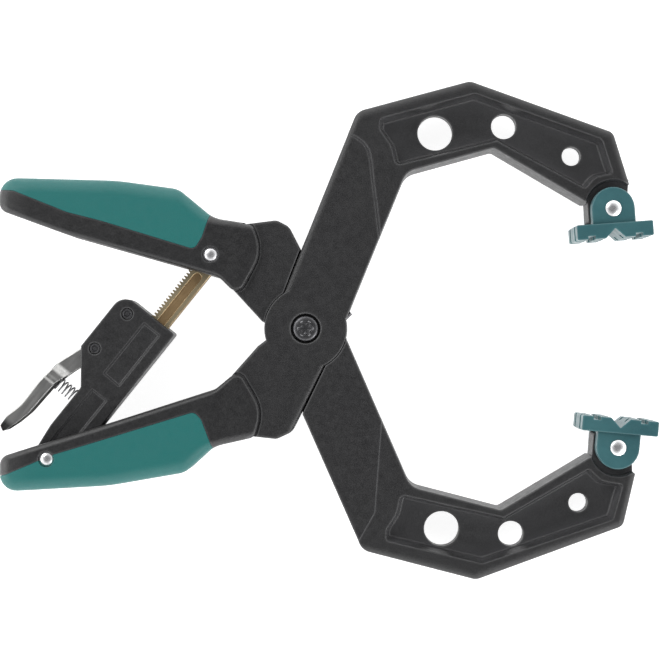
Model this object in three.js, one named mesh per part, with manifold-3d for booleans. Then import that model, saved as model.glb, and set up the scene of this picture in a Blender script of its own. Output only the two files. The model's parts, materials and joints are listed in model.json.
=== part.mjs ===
// Ratcheting spring clamp: two scissor arms on a sprung pivot, swivelling jaw pads,
// and a toothed bar that a released housing between the handles locks on.
// Millimetres, +Z up. The clamp lies on its side: the pivot axis is Z, the jaws point
// along +X, the upper jaw is at +Y. The origin is on the pivot axis at the back face.
import * as THREE from "three";
import { mergeVertices } from "three/addons/utils/BufferGeometryUtils.js";
import Module from "manifold-3d";

const wasm = await Module();
wasm.setup();

// ---------- driving dimensions ----------
const ARM_THICK = 20; // both arms together at the jaws
const LAP_Z = ARM_THICK / 2; // plane where the two laps face each other
const LAP_GAP = 0.3; // each lap stays this far from that plane
const FACE_STEP = 1; // webs and hidden blade faces sit this far below the jaw faces
const LAP_R = 15.7; // round lap of each arm at the pivot
const SWING = 25; // degrees that the rear arm closes
const SWING_MARGIN = 0.9; // degrees of clearance past each end of the swing
const WIDE_LOW = -3.5; // pads and handles are wider than the arms
const WIDE_HIGH = ARM_THICK - WIDE_LOW;
const CLEAR = 0.3; // gap between neighbouring pieces

const WEB_LOW = 7; // thin floor of the jaw pockets
const WEB_HIGH = ARM_THICK - WEB_LOW;

const TONGUE_LOW = 3.6; // jaw tongue between the pad's ears
const TONGUE_HIGH = ARM_THICK - TONGUE_LOW;
const UPPER_PIN = [116.7, 45.5];
const LOWER_PIN = [118.5, -45.2];
const UPPER_TILT = 4.1; // degrees that each pad leans as it stands
const LOWER_TILT = -5.2;
const PAD_HALF = 14.6;
const PAD_BACK = 5.4; // from the swivel pin to the plate's back
const PAD_FACE = 11.3; // from the swivel pin to the clamping face
const EAR_R = 8.2;
const EAR_LOW = -2.2;
const EAR_HIGH = ARM_THICK - EAR_LOW;
const PIN_R = 2;
const RIVET_HEAD_R = 2.95;
const RECESS_R = 10.5; // round relief in the jaw that the pad's ears turn in
const RECESS_SHIFT = 0.4; // the relief's centre, further from the other jaw than the pin

const UPPER_RIVET = [-35.9, 28]; // the bar hangs here, in the upper handle
const LOWER_RIVET = [-98, -49.4]; // the housing turns here, in the lower handle
const CHANNEL_LOW = 3.7; // both handles are channels between these levels
const CHANNEL_HIGH = ARM_THICK - CHANNEL_LOW;
const TANG_LOW = 4; // each arm runs on into its handle as a tang
const TANG_HIGH = ARM_THICK - TANG_LOW;
const GRIP_WALL = 2.9; // soft grip skin
const GRIP_LOW = WIDE_LOW + GRIP_WALL;
const GRIP_HIGH = WIDE_HIGH - GRIP_WALL;

const HOUSING_LOW = 4.5;
const HOUSING_HIGH = ARM_THICK - HOUSING_LOW;
const HOUSING_WALL = 1.9;
const HOUSING_TOP = 66.6; // end that the bar leaves by, measured from the lower rivet
const STEM = [-7.7, 7.7]; // the housing's two sides, measured across the bar
const HEAD_SIDE = 17.6; // side of the wider head that holds the pawl
const BAR_LOW = 8;
const BAR_HIGH = ARM_THICK - BAR_LOW;
const BAR_EDGE = [-4.0, 3.9]; // plain edge and toothed edge, measured across the bar
const TOOTH_PITCH = 1.4;
const TOOTH_DEPTH = 0.8;
const BAR_END = 33; // free end of the bar, measured from the lower rivet
const STOP_PIN = [BAR_END + 2, -0.3]; // keeps the bar from leaving the housing
const STOP_PIN_R = 0.95;
const BAR_WASHER_R = 4.6;
const BAR_TOP = Math.hypot(UPPER_RIVET[0] - LOWER_RIVET[0], UPPER_RIVET[1] - LOWER_RIVET[1]);
const BAR_ANGLE = Math.atan2(UPPER_RIVET[1] - LOWER_RIVET[1], UPPER_RIVET[0] - LOWER_RIVET[0]);
const PAWL_PIN = [61.4, 11.4]; // along and across the bar, from the lower rivet
const LEVER_PIN = [43.3, 12.8];
const CROSS_PIN_R = 1.5;
const CROSS_HEAD_R = 2.05;
const LEVER_WIDE = [4.6, 15.4]; // levels of the finger blade
const LEVER_NECK = [6.9, 13.1]; // levels of the neck that enters the housing
const LEVER_SHEET = 1.1;
const LEVER_SPRING = { x: 23.6, low: 8.1, high: 20.1, coil: 2.45, wire: 0.32, turns: 7 };
const TURN_STEPS = 8; // facets in each turn of the lever spring

const SPRING_WIRE = 0.95; // radius
const SPRING_COIL = 7.4; // mean radius
const SPRING_LOW = 7;
const SPRING_PITCH = 2.1;
const SPRING_TURNS = 2.95;
const SPRING_TOP = SPRING_LOW + SPRING_PITCH * SPRING_TURNS + SPRING_WIRE;
const FRONT_LEG_END = [17.1, 6.2]; // the spring's two legs end here
const REAR_LEG_END = [8.6, -24];
const BARREL_R = 4;
const WASHER_R = 14.2;
const WASHER_HALF = 0.4;
const SCREW_HEAD_R = 5.15;
const SCREW_BORE_R = 5.7;
const SCREW_SEAT = 16.8;
const NUT_HEAD_R = 6.5;
const NUT_SEAT = 3.2;

// ---------- materials ----------
function material(color, roughness, metalness) {
  return new THREE.MeshStandardMaterial({ color, roughness, metalness });
}
const arm_black = () => material(0x2f2f30, 0.62, 0);
const sleeve_black = () => material(0x262627, 0.5, 0);
const grip_teal = () => material(0x1f7f76, 0.55, 0);
const pad_teal = () => material(0x2c6f70, 0.6, 0);
const bright_steel = () => material(0xd8d8d8, 0.2, 1);
const black_steel = () => material(0x2b2b2d, 0.4, 1);
const satin_steel = () => material(0x8d8d8d, 0.4, 1);
const bronzed_steel = () => material(0x8a6c3c, 0.38, 1);

// ---------- solid helpers ----------
function solid(geometry) {
  const bare = geometry.clone();
  bare.deleteAttribute("normal");
  bare.deleteAttribute("uv");
  const merged = mergeVertices(bare, 1e-4);
  return new wasm.Manifold(
    new wasm.Mesh({
      numProp: 3,
      vertProperties: merged.getAttribute("position").array,
      triVerts: Uint32Array.from(merged.index.array),
    }),
  );
}

// The shape as straight stretches, with no point twice.
function faceted(shape, segments = 2) {
  const points = shape.getPoints(segments);
  return new THREE.Shape(points.filter((p, i) => p.distanceTo(points.at(i - 1)) > 0.01));
}

// A closed outline from corners [x, y, radius], each rounded by an arc.
function outline(corners) {
  const shape = new THREE.Shape();
  const at = (i) => new THREE.Vector2(...corners[(i + corners.length) % corners.length]);
  corners.forEach(([x, y, radius = 0], i) => {
    const here = new THREE.Vector2(x, y);
    const before = at(i - 1).sub(here).normalize();
    const after = at(i + 1).sub(here).normalize();
    const half = Math.acos(before.dot(after)) / 2;
    const start = here.clone().addScaledVector(before, radius / Math.tan(half));
    if (i === 0) shape.moveTo(start.x, start.y);
    else shape.lineTo(start.x, start.y);
    if (radius === 0) return;
    const end = here.clone().addScaledVector(after, radius / Math.tan(half));
    const middle = before.clone().add(after).normalize();
    const centre = here.clone().addScaledVector(middle, radius / Math.sin(half));
    const from = start.sub(centre).angle();
    const to = end.sub(centre).angle();
    const clockwise = before.cross(after) > 0;
    shape.absarc(centre.x, centre.y, radius, from, to, clockwise);
  });
  return faceted(shape);
}

// The same outline grown outwards (or shrunk, when by is negative) along its normals.
function grown(shape, by) {
  const points = faceted(shape).getPoints();
  if (points[0].distanceTo(points.at(-1)) < 0.01) points.pop();
  const sign = THREE.ShapeUtils.isClockWise(points) ? -1 : 1;
  return new THREE.Shape(
    points.map((p, i) => {
      const before = p.clone().sub(points.at(i - 1)).normalize();
      const after = points[(i + 1) % points.length].clone().sub(p).normalize();
      const normal = before.clone().add(after).normalize();
      const stretch = sign * by / Math.max(0.5, normal.dot(after));
      return new THREE.Vector2(p.x + normal.y * stretch, p.y - normal.x * stretch);
    }),
  );
}

function prism(shape, low, high, turn = 0) {
  const geometry = new THREE.ExtrudeGeometry(shape, {
    depth: high - low,
    bevelEnabled: false,
    curveSegments: 4,
  });
  geometry.translate(0, 0, low);
  geometry.rotateZ(THREE.MathUtils.degToRad(turn));
  return solid(geometry);
}

// A prism whose two rims are rounded over.
function softPrism(shape, low, high, size, rise) {
  const geometry = new THREE.ExtrudeGeometry(shape, {
    depth: high - low - 2 * rise,
    bevelEnabled: true,
    bevelSize: size,
    bevelOffset: -size,
    bevelThickness: rise,
    bevelSegments: 1,
    curveSegments: 4,
  });
  geometry.translate(0, 0, low + rise);
  return solid(geometry);
}

function disc([x, y], radius, low, high, segments = 24) {
  const geometry = new THREE.CylinderGeometry(radius, radius, high - low, segments);
  geometry.rotateX(Math.PI / 2);
  geometry.translate(x, y, (low + high) / 2);
  return solid(geometry);
}

// A solid of revolution about Z through a point, from [radius, level] pairs, bottom first.
function turned([x, y], profile, segments = 24) {
  const points = profile.map(([radius, level]) => new THREE.Vector2(radius, level));
  const geometry = new THREE.LatheGeometry(points, segments);
  geometry.rotateX(Math.PI / 2);
  geometry.translate(x, y, 0);
  return solid(geometry);
}

function block(low, high) {
  const size = high.map((v, i) => v - low[i]);
  const geometry = new THREE.BoxGeometry(...size);
  geometry.translate(...low.map((v, i) => v + size[i] / 2));
  return solid(geometry);
}

function tube(points, radius, steps) {
  const section = new THREE.Shape();
  section.absarc(0, 0, radius, 0, 2 * Math.PI);
  const path = new THREE.CatmullRomCurve3(points);
  return solid(new THREE.ExtrudeGeometry(section, { extrudePath: path, steps, curveSegments: 3 }));
}

const join = (first, ...rest) => rest.reduce((whole, piece) => whole.add(piece), first);
const cut = (first, ...rest) => rest.reduce((whole, piece) => whole.subtract(piece), first);

function mesh(name, body, look) {
  const { numProp, vertProperties, triVerts } = body.getMesh();
  if (numProp !== 3) throw new Error(name + " carries more than positions");
  const geometry = new THREE.BufferGeometry();
  geometry.setAttribute("position", new THREE.BufferAttribute(new Float32Array(vertProperties), 3));
  geometry.setIndex(new THREE.BufferAttribute(triVerts, 1));
  geometry.computeVertexNormals();
  const made = new THREE.Mesh(geometry, look);
  made.name = name;
  return made;
}

// ---------- arms ----------
// Both blades and jaws, as corners [x, y, radius] from the heel round the crown to the toe,
// then back along the inner edge. The last two corners are inside the round lap.
const frontJaw = [
  [19.5, 82.9, 6],
  [62.7, 94.5, 5],
  [117.2, 74.9, 3.5],
  [123.4, 55],
  [118, 50],
  [107.3, 47.7],
  [71.6, 68.6, 2],
  [38.3, 59.5, 7],
  [13.5, -1.4],
  [-12.6, 3.2],
];
const rearJaw = [
  [21.6, -84.7, 6],
  [65, -95.9, 5],
  [121, -75.4, 3.5],
  [125.7, -55.4],
  [120, -50.5],
  [108.9, -48.4],
  [74.3, -69, 2],
  [40, -60.1, 7],
  [13.2, 1.5],
  [-10.4, -12],
];
const frontWeb = [
  [10.1, -8.9],
  [-5.2, -39.5, 4],
  [-11, -42.2, 4],
  [-27, -40.4],
  [-29.3, -19.1],
  [-18.2, -6.6],
  [-12, -2],
];
const rearWeb = [
  [9, 8.4],
  [-6.4, 39, 4],
  [-11, 41.4, 4],
  [-27, 39.4],
  [-30.2, 17.4],
  [-16.6, 2.6],
  [-12, -1],
];

// Each jaw has a pocket in both faces, its outer edge one rim in from the jaw's own edge.
const frontPocket = [
  [28.5, 79.8, 1.5],
  [64.4, 89.3, 2],
  [112.6, 71.9, 2],
  [116.8, 59, 1],
  [110, 57.6, 5],
  [106.4, 53.3, 1],
  [72.8, 71.4, 1],
  [34.4, 62.0, 2],
  [32.6, 69.5, 5],
  [28.2, 76, 3],
];
const rearPocket = [
  [30.6, -80.6, 1.5],
  [67.3, -89.3, 2],
  [116.8, -72.6, 2],
  [120.6, -59.4, 1],
  [112.5, -58, 5],
  [107.7, -53.4, 1],
  [75.4, -71.9, 1],
  [36.2, -63.2, 2],
  [34.6, -70.5, 5],
  [30.8, -76.4, 3],
];
const frontHoles = [
  [49.5, 75.2, 6.7],
  [75.9, 77.7, 4.8],
  [101.9, 66.3, 3.65],
];
const rearHoles = [
  [52, -76.9, 6.7],
  [78.6, -78.8, 4.85],
  [104.5, -66.9, 3.65],
];

// The tongue that carries a pad: straight at the heel side, where it stops the pad, and
// round at the other. Drawn for the upper jaw; side is -1 for the lower one.
function tongue(pin, tilt, side) {
  const lean = THREE.MathUtils.degToRad(tilt);
  const corners = [
    [-8.9, 7],
    [-8.9, -4.8, 1],
    [5.2, -4.8, 4.9],
    [7.5, 11],
    [-4, 12],
  ].map(([x, y, radius]) => {
    const p = new THREE.Vector2(x, y * side).rotateAround(new THREE.Vector2(), lean);
    return [pin[0] + p.x, pin[1] + p.y, radius];
  });
  return prism(outline(corners), TONGUE_LOW, TONGUE_HIGH);
}

// The tangs that run inside the handle sleeves.
const frontTang = outline([
  [-20, -19],
  [-38, -27.5],
  [-62, -42, 2],
  [-62, -49.5, 2],
  [-47, -46],
  [-37, -38.5],
  [-20, -38],
]);
const rearTang = outline([
  [-20, 20.5],
  [-25.5, 20.5],
  [-27, 34.7, 2],
  [-42, 35.8],
  [-62, 45.5, 1],
  [-62, 50, 1],
  [-47, 45],
  [-38.5, 38.4],
  [-20, 36.9],
]);

// Every place that an arm reaches as it swings, seen from the other arm.
function swept(parts, low, high, from, to) {
  const steps = 5;
  const turns = Array.from({ length: steps + 1 }, (_, i) => from + (i * (to - from)) / steps);
  const copies = turns.flatMap((turn) => parts.map((part) => prism(part, low, high, turn)));
  return join(...copies);
}

// One arm. Its lap and blade lie in front of the lap plane or behind it; past the blade
// the jaw, and past the lap the web, take the full thickness, less what the other arm
// sweeps through.
function arm({ jaw, web, pocket, holes, tang, pin, tilt, side, otherParts, swing, front }) {
  const lap = front ? [LAP_Z + LAP_GAP, ARM_THICK] : [0, LAP_Z - LAP_GAP];
  const rest = front ? [FACE_STEP, lap[0] + 0.1] : [lap[1] - 0.1, ARM_THICK - FACE_STEP];
  const jawShape = outline(jaw);
  const webShape = outline(web);
  const parts = [jawShape, webShape];
  const other = join(
    swept(otherParts, rest[0] - 1, rest[1] + (front ? 0 : 2), ...swing),
    disc([0, 0], LAP_R + CLEAR, rest[0] - 1, rest[1] + (front ? 0 : 2), 36),
  );
  const beyondBlade = outline([
    [27, side * 76],
    [30, side * 40],
    [140, side * 20],
    [140, side * 120],
    [10, side * 110],
    [16, side * 76],
  ]);
  const full = join(
    ...parts.map((part) => prism(part, ...rest)),
    prism(jawShape, 0, ARM_THICK).intersect(prism(beyondBlade, -1, ARM_THICK + 1)),
  );
  let body = join(
    ...parts.map((part) => prism(part, ...lap)),
    disc([0, 0], LAP_R, ...lap, 36),
    cut(full, other),
    prism(tang, TANG_LOW, TANG_HIGH),
  );
  const relief = [pin[0] + RECESS_SHIFT, pin[1] + side * RECESS_SHIFT];
  body = cut(
    body,
    disc(relief, RECESS_R, -1, TONGUE_LOW, 32),
    disc(relief, RECESS_R, TONGUE_HIGH, ARM_THICK + 1, 32),
    disc(pin, EAR_R + 1.6, TONGUE_LOW - 0.1, TONGUE_HIGH + 0.1, 32),
    prism(outline(pocket), -1, WEB_LOW),
    prism(outline(pocket), WEB_HIGH, ARM_THICK + 1),
    ...holes.map(([x, y, radius]) => disc([x, y], radius, -1, ARM_THICK + 1)),
  );
  body = body.add(tongue(pin, tilt, side));
  return cut(
    body,
    disc(pin, PIN_R + CLEAR, TONGUE_LOW - 1, TONGUE_HIGH + 1, 24),
    disc([0, 0], BARREL_R + 0.2, -1, ARM_THICK + 1),
    disc([0, 0], SPRING_COIL + SPRING_WIRE + 0.7, SPRING_LOW - SPRING_WIRE - 0.3, SPRING_TOP + 0.3, 28),
    disc([0, 0], WASHER_R + 0.2, LAP_Z - WASHER_HALF - 0.2, LAP_Z + WASHER_HALF + 0.2, 28),
  );
}

// ---------- pivot ----------
// Lobed recess of the screw, six rounded points.
function lobedRecess(low, high) {
  const lobes = 6;
  const mean = 2.45;
  const depth = 0.38;
  const steps = 36;
  const points = Array.from({ length: steps }, (_, i) => {
    const angle = (i * 2 * Math.PI) / steps;
    const radius = mean + depth * Math.cos(lobes * angle);
    return new THREE.Vector2(radius * Math.cos(angle), radius * Math.sin(angle));
  });
  return prism(new THREE.Shape(points), low, high);
}

function pivotScrew() {
  const body = turned(
    [0, 0],
    [
      [0, 5],
      [2.3, 5],
      [2.3, 17],
      [SCREW_HEAD_R, 17],
      [SCREW_HEAD_R, 18.4],
      [SCREW_HEAD_R - 0.5, 19.3],
      [SCREW_HEAD_R - 1.6, 19.9],
      [0, 20],
    ],
  );
  return mesh("pivot_screw", cut(body, lobedRecess(17.9, 21)), black_steel());
}

function pivotBarrelNut() {
  const head = disc([0, 0], NUT_HEAD_R, 0, NUT_SEAT - 0.3);
  const body = head.add(disc([0, 0], BARREL_R, 0, SCREW_SEAT - 0.2));
  return mesh("pivot_barrel_nut", cut(body, disc([0, 0], 2.6, 4, 20, 24)), satin_steel());
}

function pivotWasher() {
  const body = disc([0, 0], WASHER_R, LAP_Z - WASHER_HALF, LAP_Z + WASHER_HALF, 28);
  const hole = disc([0, 0], SPRING_COIL + SPRING_WIRE + 0.8, 0, ARM_THICK, 28);
  return mesh("pivot_washer", cut(body, hole), bright_steel());
}

// Where a leg that ends at a point leaves the coil.
function tangentPoint([x, y], side) {
  const angle = Math.atan2(y, x) + side * Math.acos(SPRING_COIL / Math.hypot(x, y));
  return { angle, point: [SPRING_COIL * Math.cos(angle), SPRING_COIL * Math.sin(angle)] };
}

// Each leg leaves the coil on a tangent and lies in a slot of its own arm.
function torsionSpring() {
  const rear = tangentPoint(REAR_LEG_END, 1);
  const front = tangentPoint(FRONT_LEG_END, -1);
  const top = SPRING_LOW + SPRING_PITCH * SPRING_TURNS - SPRING_WIRE;
  const whole = Math.floor(SPRING_TURNS) - 1;
  let sweep = front.angle - rear.angle;
  while (sweep < 0) sweep += 2 * Math.PI;
  sweep += whole * 2 * Math.PI;
  const steps = 36;
  const coil = Array.from({ length: steps + 1 }, (_, i) => {
    const angle = rear.angle + (sweep * i) / steps;
    const level = SPRING_LOW + ((top - SPRING_LOW) * i) / steps;
    return new THREE.Vector3(SPRING_COIL * Math.cos(angle), SPRING_COIL * Math.sin(angle), level);
  });
  const path = [
    new THREE.Vector3(...REAR_LEG_END, SPRING_LOW),
    ...coil,
    new THREE.Vector3(...FRONT_LEG_END, top),
  ];
  return mesh("torsion_spring", tube(path, SPRING_WIRE, 56), black_steel());
}

function legSlot(end, side, low, high) {
  const start = tangentPoint(end, side).point;
  const along = new THREE.Vector2(end[0] - start[0], end[1] - start[1]);
  const length = along.length() + 4;
  const geometry = new THREE.BoxGeometry(length, 2 * SPRING_WIRE + 1, high - low);
  geometry.translate(length / 2 - 1.5, 0, (low + high) / 2);
  geometry.rotateZ(along.angle());
  geometry.translate(start[0], start[1], 0);
  return solid(geometry);
}

function frontArm() {
  const body = arm({
    jaw: frontJaw,
    web: frontWeb,
    pocket: frontPocket,
    holes: frontHoles,
    tang: frontTang,
    pin: UPPER_PIN,
    tilt: UPPER_TILT,
    side: 1,
    otherParts: [outline(rearJaw), outline(rearWeb)],
    swing: [-SWING_MARGIN, SWING + SWING_MARGIN],
    front: true,
  });
  const top = SPRING_TOP - SPRING_WIRE;
  return mesh(
    "front_arm",
    cut(
      body,
      disc([0, 0], SCREW_BORE_R, SCREW_SEAT, ARM_THICK + 1, 28),
      legSlot(FRONT_LEG_END, -1, LAP_Z, top + 0.6),
    ),
    arm_black(),
  );
}

function rearArm() {
  const body = arm({
    jaw: rearJaw,
    web: rearWeb,
    pocket: rearPocket,
    holes: rearHoles,
    tang: rearTang,
    pin: LOWER_PIN,
    tilt: LOWER_TILT,
    side: -1,
    otherParts: [outline(frontJaw), outline(frontWeb)],
    swing: [-SWING - SWING_MARGIN, SWING_MARGIN],
    front: false,
  });
  return mesh(
    "rear_arm",
    cut(
      body,
      disc([0, 0], NUT_HEAD_R + CLEAR, -1, NUT_SEAT, 28),
      legSlot(REAR_LEG_END, 1, SPRING_LOW - SPRING_WIRE - CLEAR, LAP_Z),
    ),
    arm_black(),
  );
}

// ---------- pads ----------
// Drawn about its own swivel pin, clamping face down, then turned into place.
function pad(name, pin, tilt, side) {
  const plate = prism(
    outline([
      [-PAD_HALF, -PAD_FACE],
      [PAD_HALF, -PAD_FACE],
      [PAD_HALF, -PAD_BACK],
      [-PAD_HALF, -PAD_BACK],
    ]),
    WIDE_LOW,
    WIDE_HIGH,
  );
  const earShape = outline([
    [-EAR_R, -PAD_BACK - 1],
    [EAR_R, -PAD_BACK - 1],
    [EAR_R, EAR_R, EAR_R - 0.01],
    [-EAR_R, EAR_R, EAR_R - 0.01],
  ]);
  const notch = outline([
    [-4.8, -PAD_FACE - 1],
    [4.8, -PAD_FACE - 1],
    [0, -PAD_FACE + 3.8],
  ]);
  const slots = [-9, 9].map((x) =>
    block([x - 1.4, -PAD_FACE - 1, WIDE_LOW - 1], [x + 1.4, -PAD_FACE + 1.4, WIDE_HIGH + 1]),
  );
  const crossSlots = [3.2, ARM_THICK - 3.2].map((z) =>
    block([-PAD_HALF - 1, -PAD_FACE - 1, z - 1.3], [PAD_HALF + 1, -PAD_FACE + 1.4, z + 1.3]),
  );
  const body = cut(
    join(
      plate,
      prism(earShape, EAR_LOW, TONGUE_LOW - CLEAR - 0.1),
      prism(earShape, TONGUE_HIGH + CLEAR + 0.1, EAR_HIGH),
    ),
    prism(notch, WIDE_LOW - 1, WIDE_HIGH + 1),
    ...slots,
    ...crossSlots,
    disc([0, 0], PIN_R + 0.2, EAR_LOW - 1, EAR_HIGH + 1, 24),
  );
  const made = mesh(name, body, pad_teal());
  made.position.set(pin[0], pin[1], side > 0 ? 0 : ARM_THICK);
  if (side < 0) made.rotation.x = Math.PI;
  made.rotation.z = side * THREE.MathUtils.degToRad(tilt);
  return made;
}

// ---------- rivets ----------
// A straight shaft from one level to another with a domed head at each end.
function rivet(name, at, low, high, shaft, head, dome) {
  const body = turned(
    at,
    [
      [0, low],
      [head * 0.55, low + dome * 0.16],
      [head * 0.88, low + dome * 0.55],
      [head, low + dome],
      [shaft, low + dome],
      [shaft, high - dome],
      [head, high - dome],
      [head * 0.88, high - dome * 0.55],
      [head * 0.55, high - dome * 0.16],
      [0, high],
    ],
    16,
  );
  return mesh(name, body, bright_steel());
}

// ---------- handles ----------
const frontHandle = outline([
  [-116.8, -49, 5],
  [-77.4, -36.9, 60],
  [-34, -22.9, 6],
  [-25.4, -15.7, 3.4],
  [-16.6, -31, 16],
  [-19.6, -41.3, 3.4],
  [-35.4, -43.9, 14],
  [-46, -55, 9],
  [-75, -60, 80],
  [-116.8, -62.4, 6.5],
]);
const rearHandle = outline([
  [-117, 45.2, 5],
  [-90.5, 35.6, 50],
  [-32.6, 19.3, 6],
  [-25.5, 12.2, 3.4],
  [-16.4, 29.4, 16],
  [-20.4, 39.6, 3.4],
  [-35.3, 41.2, 14],
  [-48.6, 53.3, 9],
  [-72, 56.5, 80],
  [-116.8, 57.7, 7],
]);
const frontGripSide = outline([
  [-125, -58.6],
  [-113, -55.2, 4],
  [-96, -48, 12],
  [-78, -42.6, 12],
  [-42, -31.6, 2.5],
  [-39.4, -34.5, 3],
  [-34.4, -47.5],
  [-34, -72],
  [-125, -72],
]);
const rearGripSide = outline([
  [-125, 53.6],
  [-110.5, 52.2, 4],
  [-90, 44, 12],
  [-77, 40.7, 12],
  [-42, 30, 2.5],
  [-39.2, 34.5, 3],
  [-34.8, 47],
  [-34, 68],
  [-125, 68],
]);
const frontChannel = outline([
  [-107, -42],
  [-107, -58.2, 5],
  [-80, -57, 3],
  [-68, -46, 3],
  [-66, -25],
  [-107, -25],
]);
const rearChannel = outline([
  [-96, 30],
  [-96, 43.5, 4],
  [-62, 43, 4],
  [-46, 35.4, 3],
  [-29, 34.2, 5],
  [-29, 10],
  [-96, 10],
]);

// One handle: a hard sleeve round the arm's tang and a soft grip inlaid in its outer side.
// Both are open towards the other handle, where the channel is.
function handle({ outer, gripSide, channel, tang, at, web }) {
  const whole = softPrism(outer, WIDE_LOW, WIDE_HIGH, 2.2, 3.2);
  const core = prism(grown(outer, -GRIP_WALL), GRIP_LOW, GRIP_HIGH);
  const coreHole = prism(grown(outer, CLEAR - GRIP_WALL), GRIP_LOW - CLEAR, GRIP_HIGH + CLEAR);
  const gripRegion = prism(gripSide, WIDE_LOW - 1, WIDE_HIGH + 1);
  const gripRegionGrown = prism(grown(gripSide, CLEAR), WIDE_LOW - 1, WIDE_HIGH + 1);
  const openings = [
    prism(channel, CHANNEL_LOW, CHANNEL_HIGH),
    disc(at, PIN_R + 0.2, WIDE_LOW - 1, WIDE_HIGH + 1, 24),
    disc(at, RIVET_HEAD_R + CLEAR, WIDE_LOW - 1, WIDE_LOW + 1.9, 24),
    disc(at, RIVET_HEAD_R + CLEAR, WIDE_HIGH - 1.9, WIDE_HIGH + 1, 24),
  ];
  const sleeve = cut(
    join(cut(whole, gripRegionGrown), core),
    ...openings,
    prism(grown(tang, CLEAR), TANG_LOW - CLEAR, TANG_HIGH + CLEAR),
    prism(grown(web, CLEAR), -CLEAR, ARM_THICK + CLEAR),
  );
  const grip = cut(whole.intersect(gripRegion), coreHole, ...openings);
  return { sleeve, grip };
}

function handles() {
  const lower = handle({
    outer: frontHandle,
    gripSide: frontGripSide,
    channel: frontChannel,
    tang: frontTang,
    at: LOWER_RIVET,
    web: outline(frontWeb),
  });
  const upper = handle({
    outer: rearHandle,
    gripSide: rearGripSide,
    channel: rearChannel,
    tang: rearTang,
    at: UPPER_RIVET,
    web: outline(rearWeb),
  });
  return [
    mesh("lower_handle_sleeve", lower.sleeve, sleeve_black()),
    mesh("lower_handle_grip", lower.grip, grip_teal()),
    mesh("upper_handle_sleeve", upper.sleeve, sleeve_black()),
    mesh("upper_handle_grip", upper.grip, grip_teal()),
    rivet("lower_handle_rivet", LOWER_RIVET, WIDE_LOW + 0.2, WIDE_HIGH - 0.2, PIN_R, RIVET_HEAD_R, 1.5),
    rivet("upper_handle_rivet", UPPER_RIVET, WIDE_LOW + 0.2, WIDE_HIGH - 0.2, PIN_R, RIVET_HEAD_R, 1.5),
  ];
}

function barWasher(name, low, high) {
  const bore = disc(UPPER_RIVET, PIN_R + 0.2, 0, ARM_THICK, 24);
  const body = cut(disc(UPPER_RIVET, BAR_WASHER_R, low, high, 24), bore);
  return mesh(name, body, bright_steel());
}

// ---------- ratchet, drawn along the bar: x from the lower rivet, y across ----------
// Teeth on one edge, a shallow groove in the front face and an eye round the upper rivet.
function ratchetBar() {
  const [plain, toothed] = BAR_EDGE;
  const shape = new THREE.Shape();
  shape.moveTo(BAR_END, plain);
  shape.lineTo(BAR_TOP - 7, plain);
  shape.lineTo(BAR_TOP - 4.2, -4.2);
  shape.absarc(BAR_TOP, 0, 5.5, -2.3, 2.45, false);
  shape.lineTo(BAR_TOP - 6.5, toothed);
  const teeth = Math.floor((BAR_TOP - 10 - BAR_END) / TOOTH_PITCH);
  const first = BAR_TOP - 7.5;
  for (let i = 0; i < teeth; i += 1) {
    const x = first - i * TOOTH_PITCH;
    shape.lineTo(x, toothed);
    shape.lineTo(x - 0.35 * TOOTH_PITCH, toothed - TOOTH_DEPTH);
  }
  shape.lineTo(first - teeth * TOOTH_PITCH, toothed);
  shape.lineTo(BAR_END, toothed);
  const fuller = outline([
    [BAR_END + 4, -2.2, 1],
    [BAR_TOP - 8.5, -2.2, 1.7],
    [BAR_TOP - 8.5, 1.4, 1.7],
    [BAR_END + 4, 1.4, 1],
  ]);
  return mesh(
    "ratchet_bar",
    cut(
      prism(shape, BAR_LOW, BAR_HIGH),
      prism(fuller, BAR_HIGH - 0.7, BAR_HIGH + 1),
      disc([BAR_TOP, 0], PIN_R + 1.3, 0, ARM_THICK, 24),
      disc(STOP_PIN, STOP_PIN_R + 0.25, 0, ARM_THICK, 16),
    ),
    bronzed_steel(),
  );
}

const housingShape = outline([
  [-7.6, STEM[0], 7.5],
  [HOUSING_TOP, STEM[0], 0.8],
  [HOUSING_TOP, HEAD_SIDE, 5.6],
  [40.8, HEAD_SIDE, 1.2],
  [28.3, STEM[1], 1.5],
  [-7.6, STEM[1], 7.5],
]);
const mechanismRoom = outline([
  [30.6, 2],
  [HOUSING_TOP - 1.6, 2],
  [HOUSING_TOP - 1.6, HEAD_SIDE - 1.6, 4],
  [46.5, HEAD_SIDE - 1.6],
  [46, HEAD_SIDE + 2],
  [32, HEAD_SIDE + 2],
  [25.5, 8],
  [28.4, 5],
]);
const barRoom = outline([
  [7, BAR_EDGE[0] - 0.5, 1],
  [HOUSING_TOP + 2, BAR_EDGE[0] - 0.5],
  [HOUSING_TOP + 2, BAR_EDGE[1] + 0.5],
  [7, BAR_EDGE[1] + 0.5, 1],
]);
const panels = [
  outline([
    [37.6, -3.8, 0.4],
    [63, -3.7, 0.4],
    [63, 4.4, 0.4],
    [37.8, 4.4, 0.4],
  ]),
  outline([
    [2, -3.4, 0.4],
    [30.8, -3.5, 0.4],
    [30.8, 4, 0.4],
    [2, 4.2, 0.4],
  ]),
];

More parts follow.
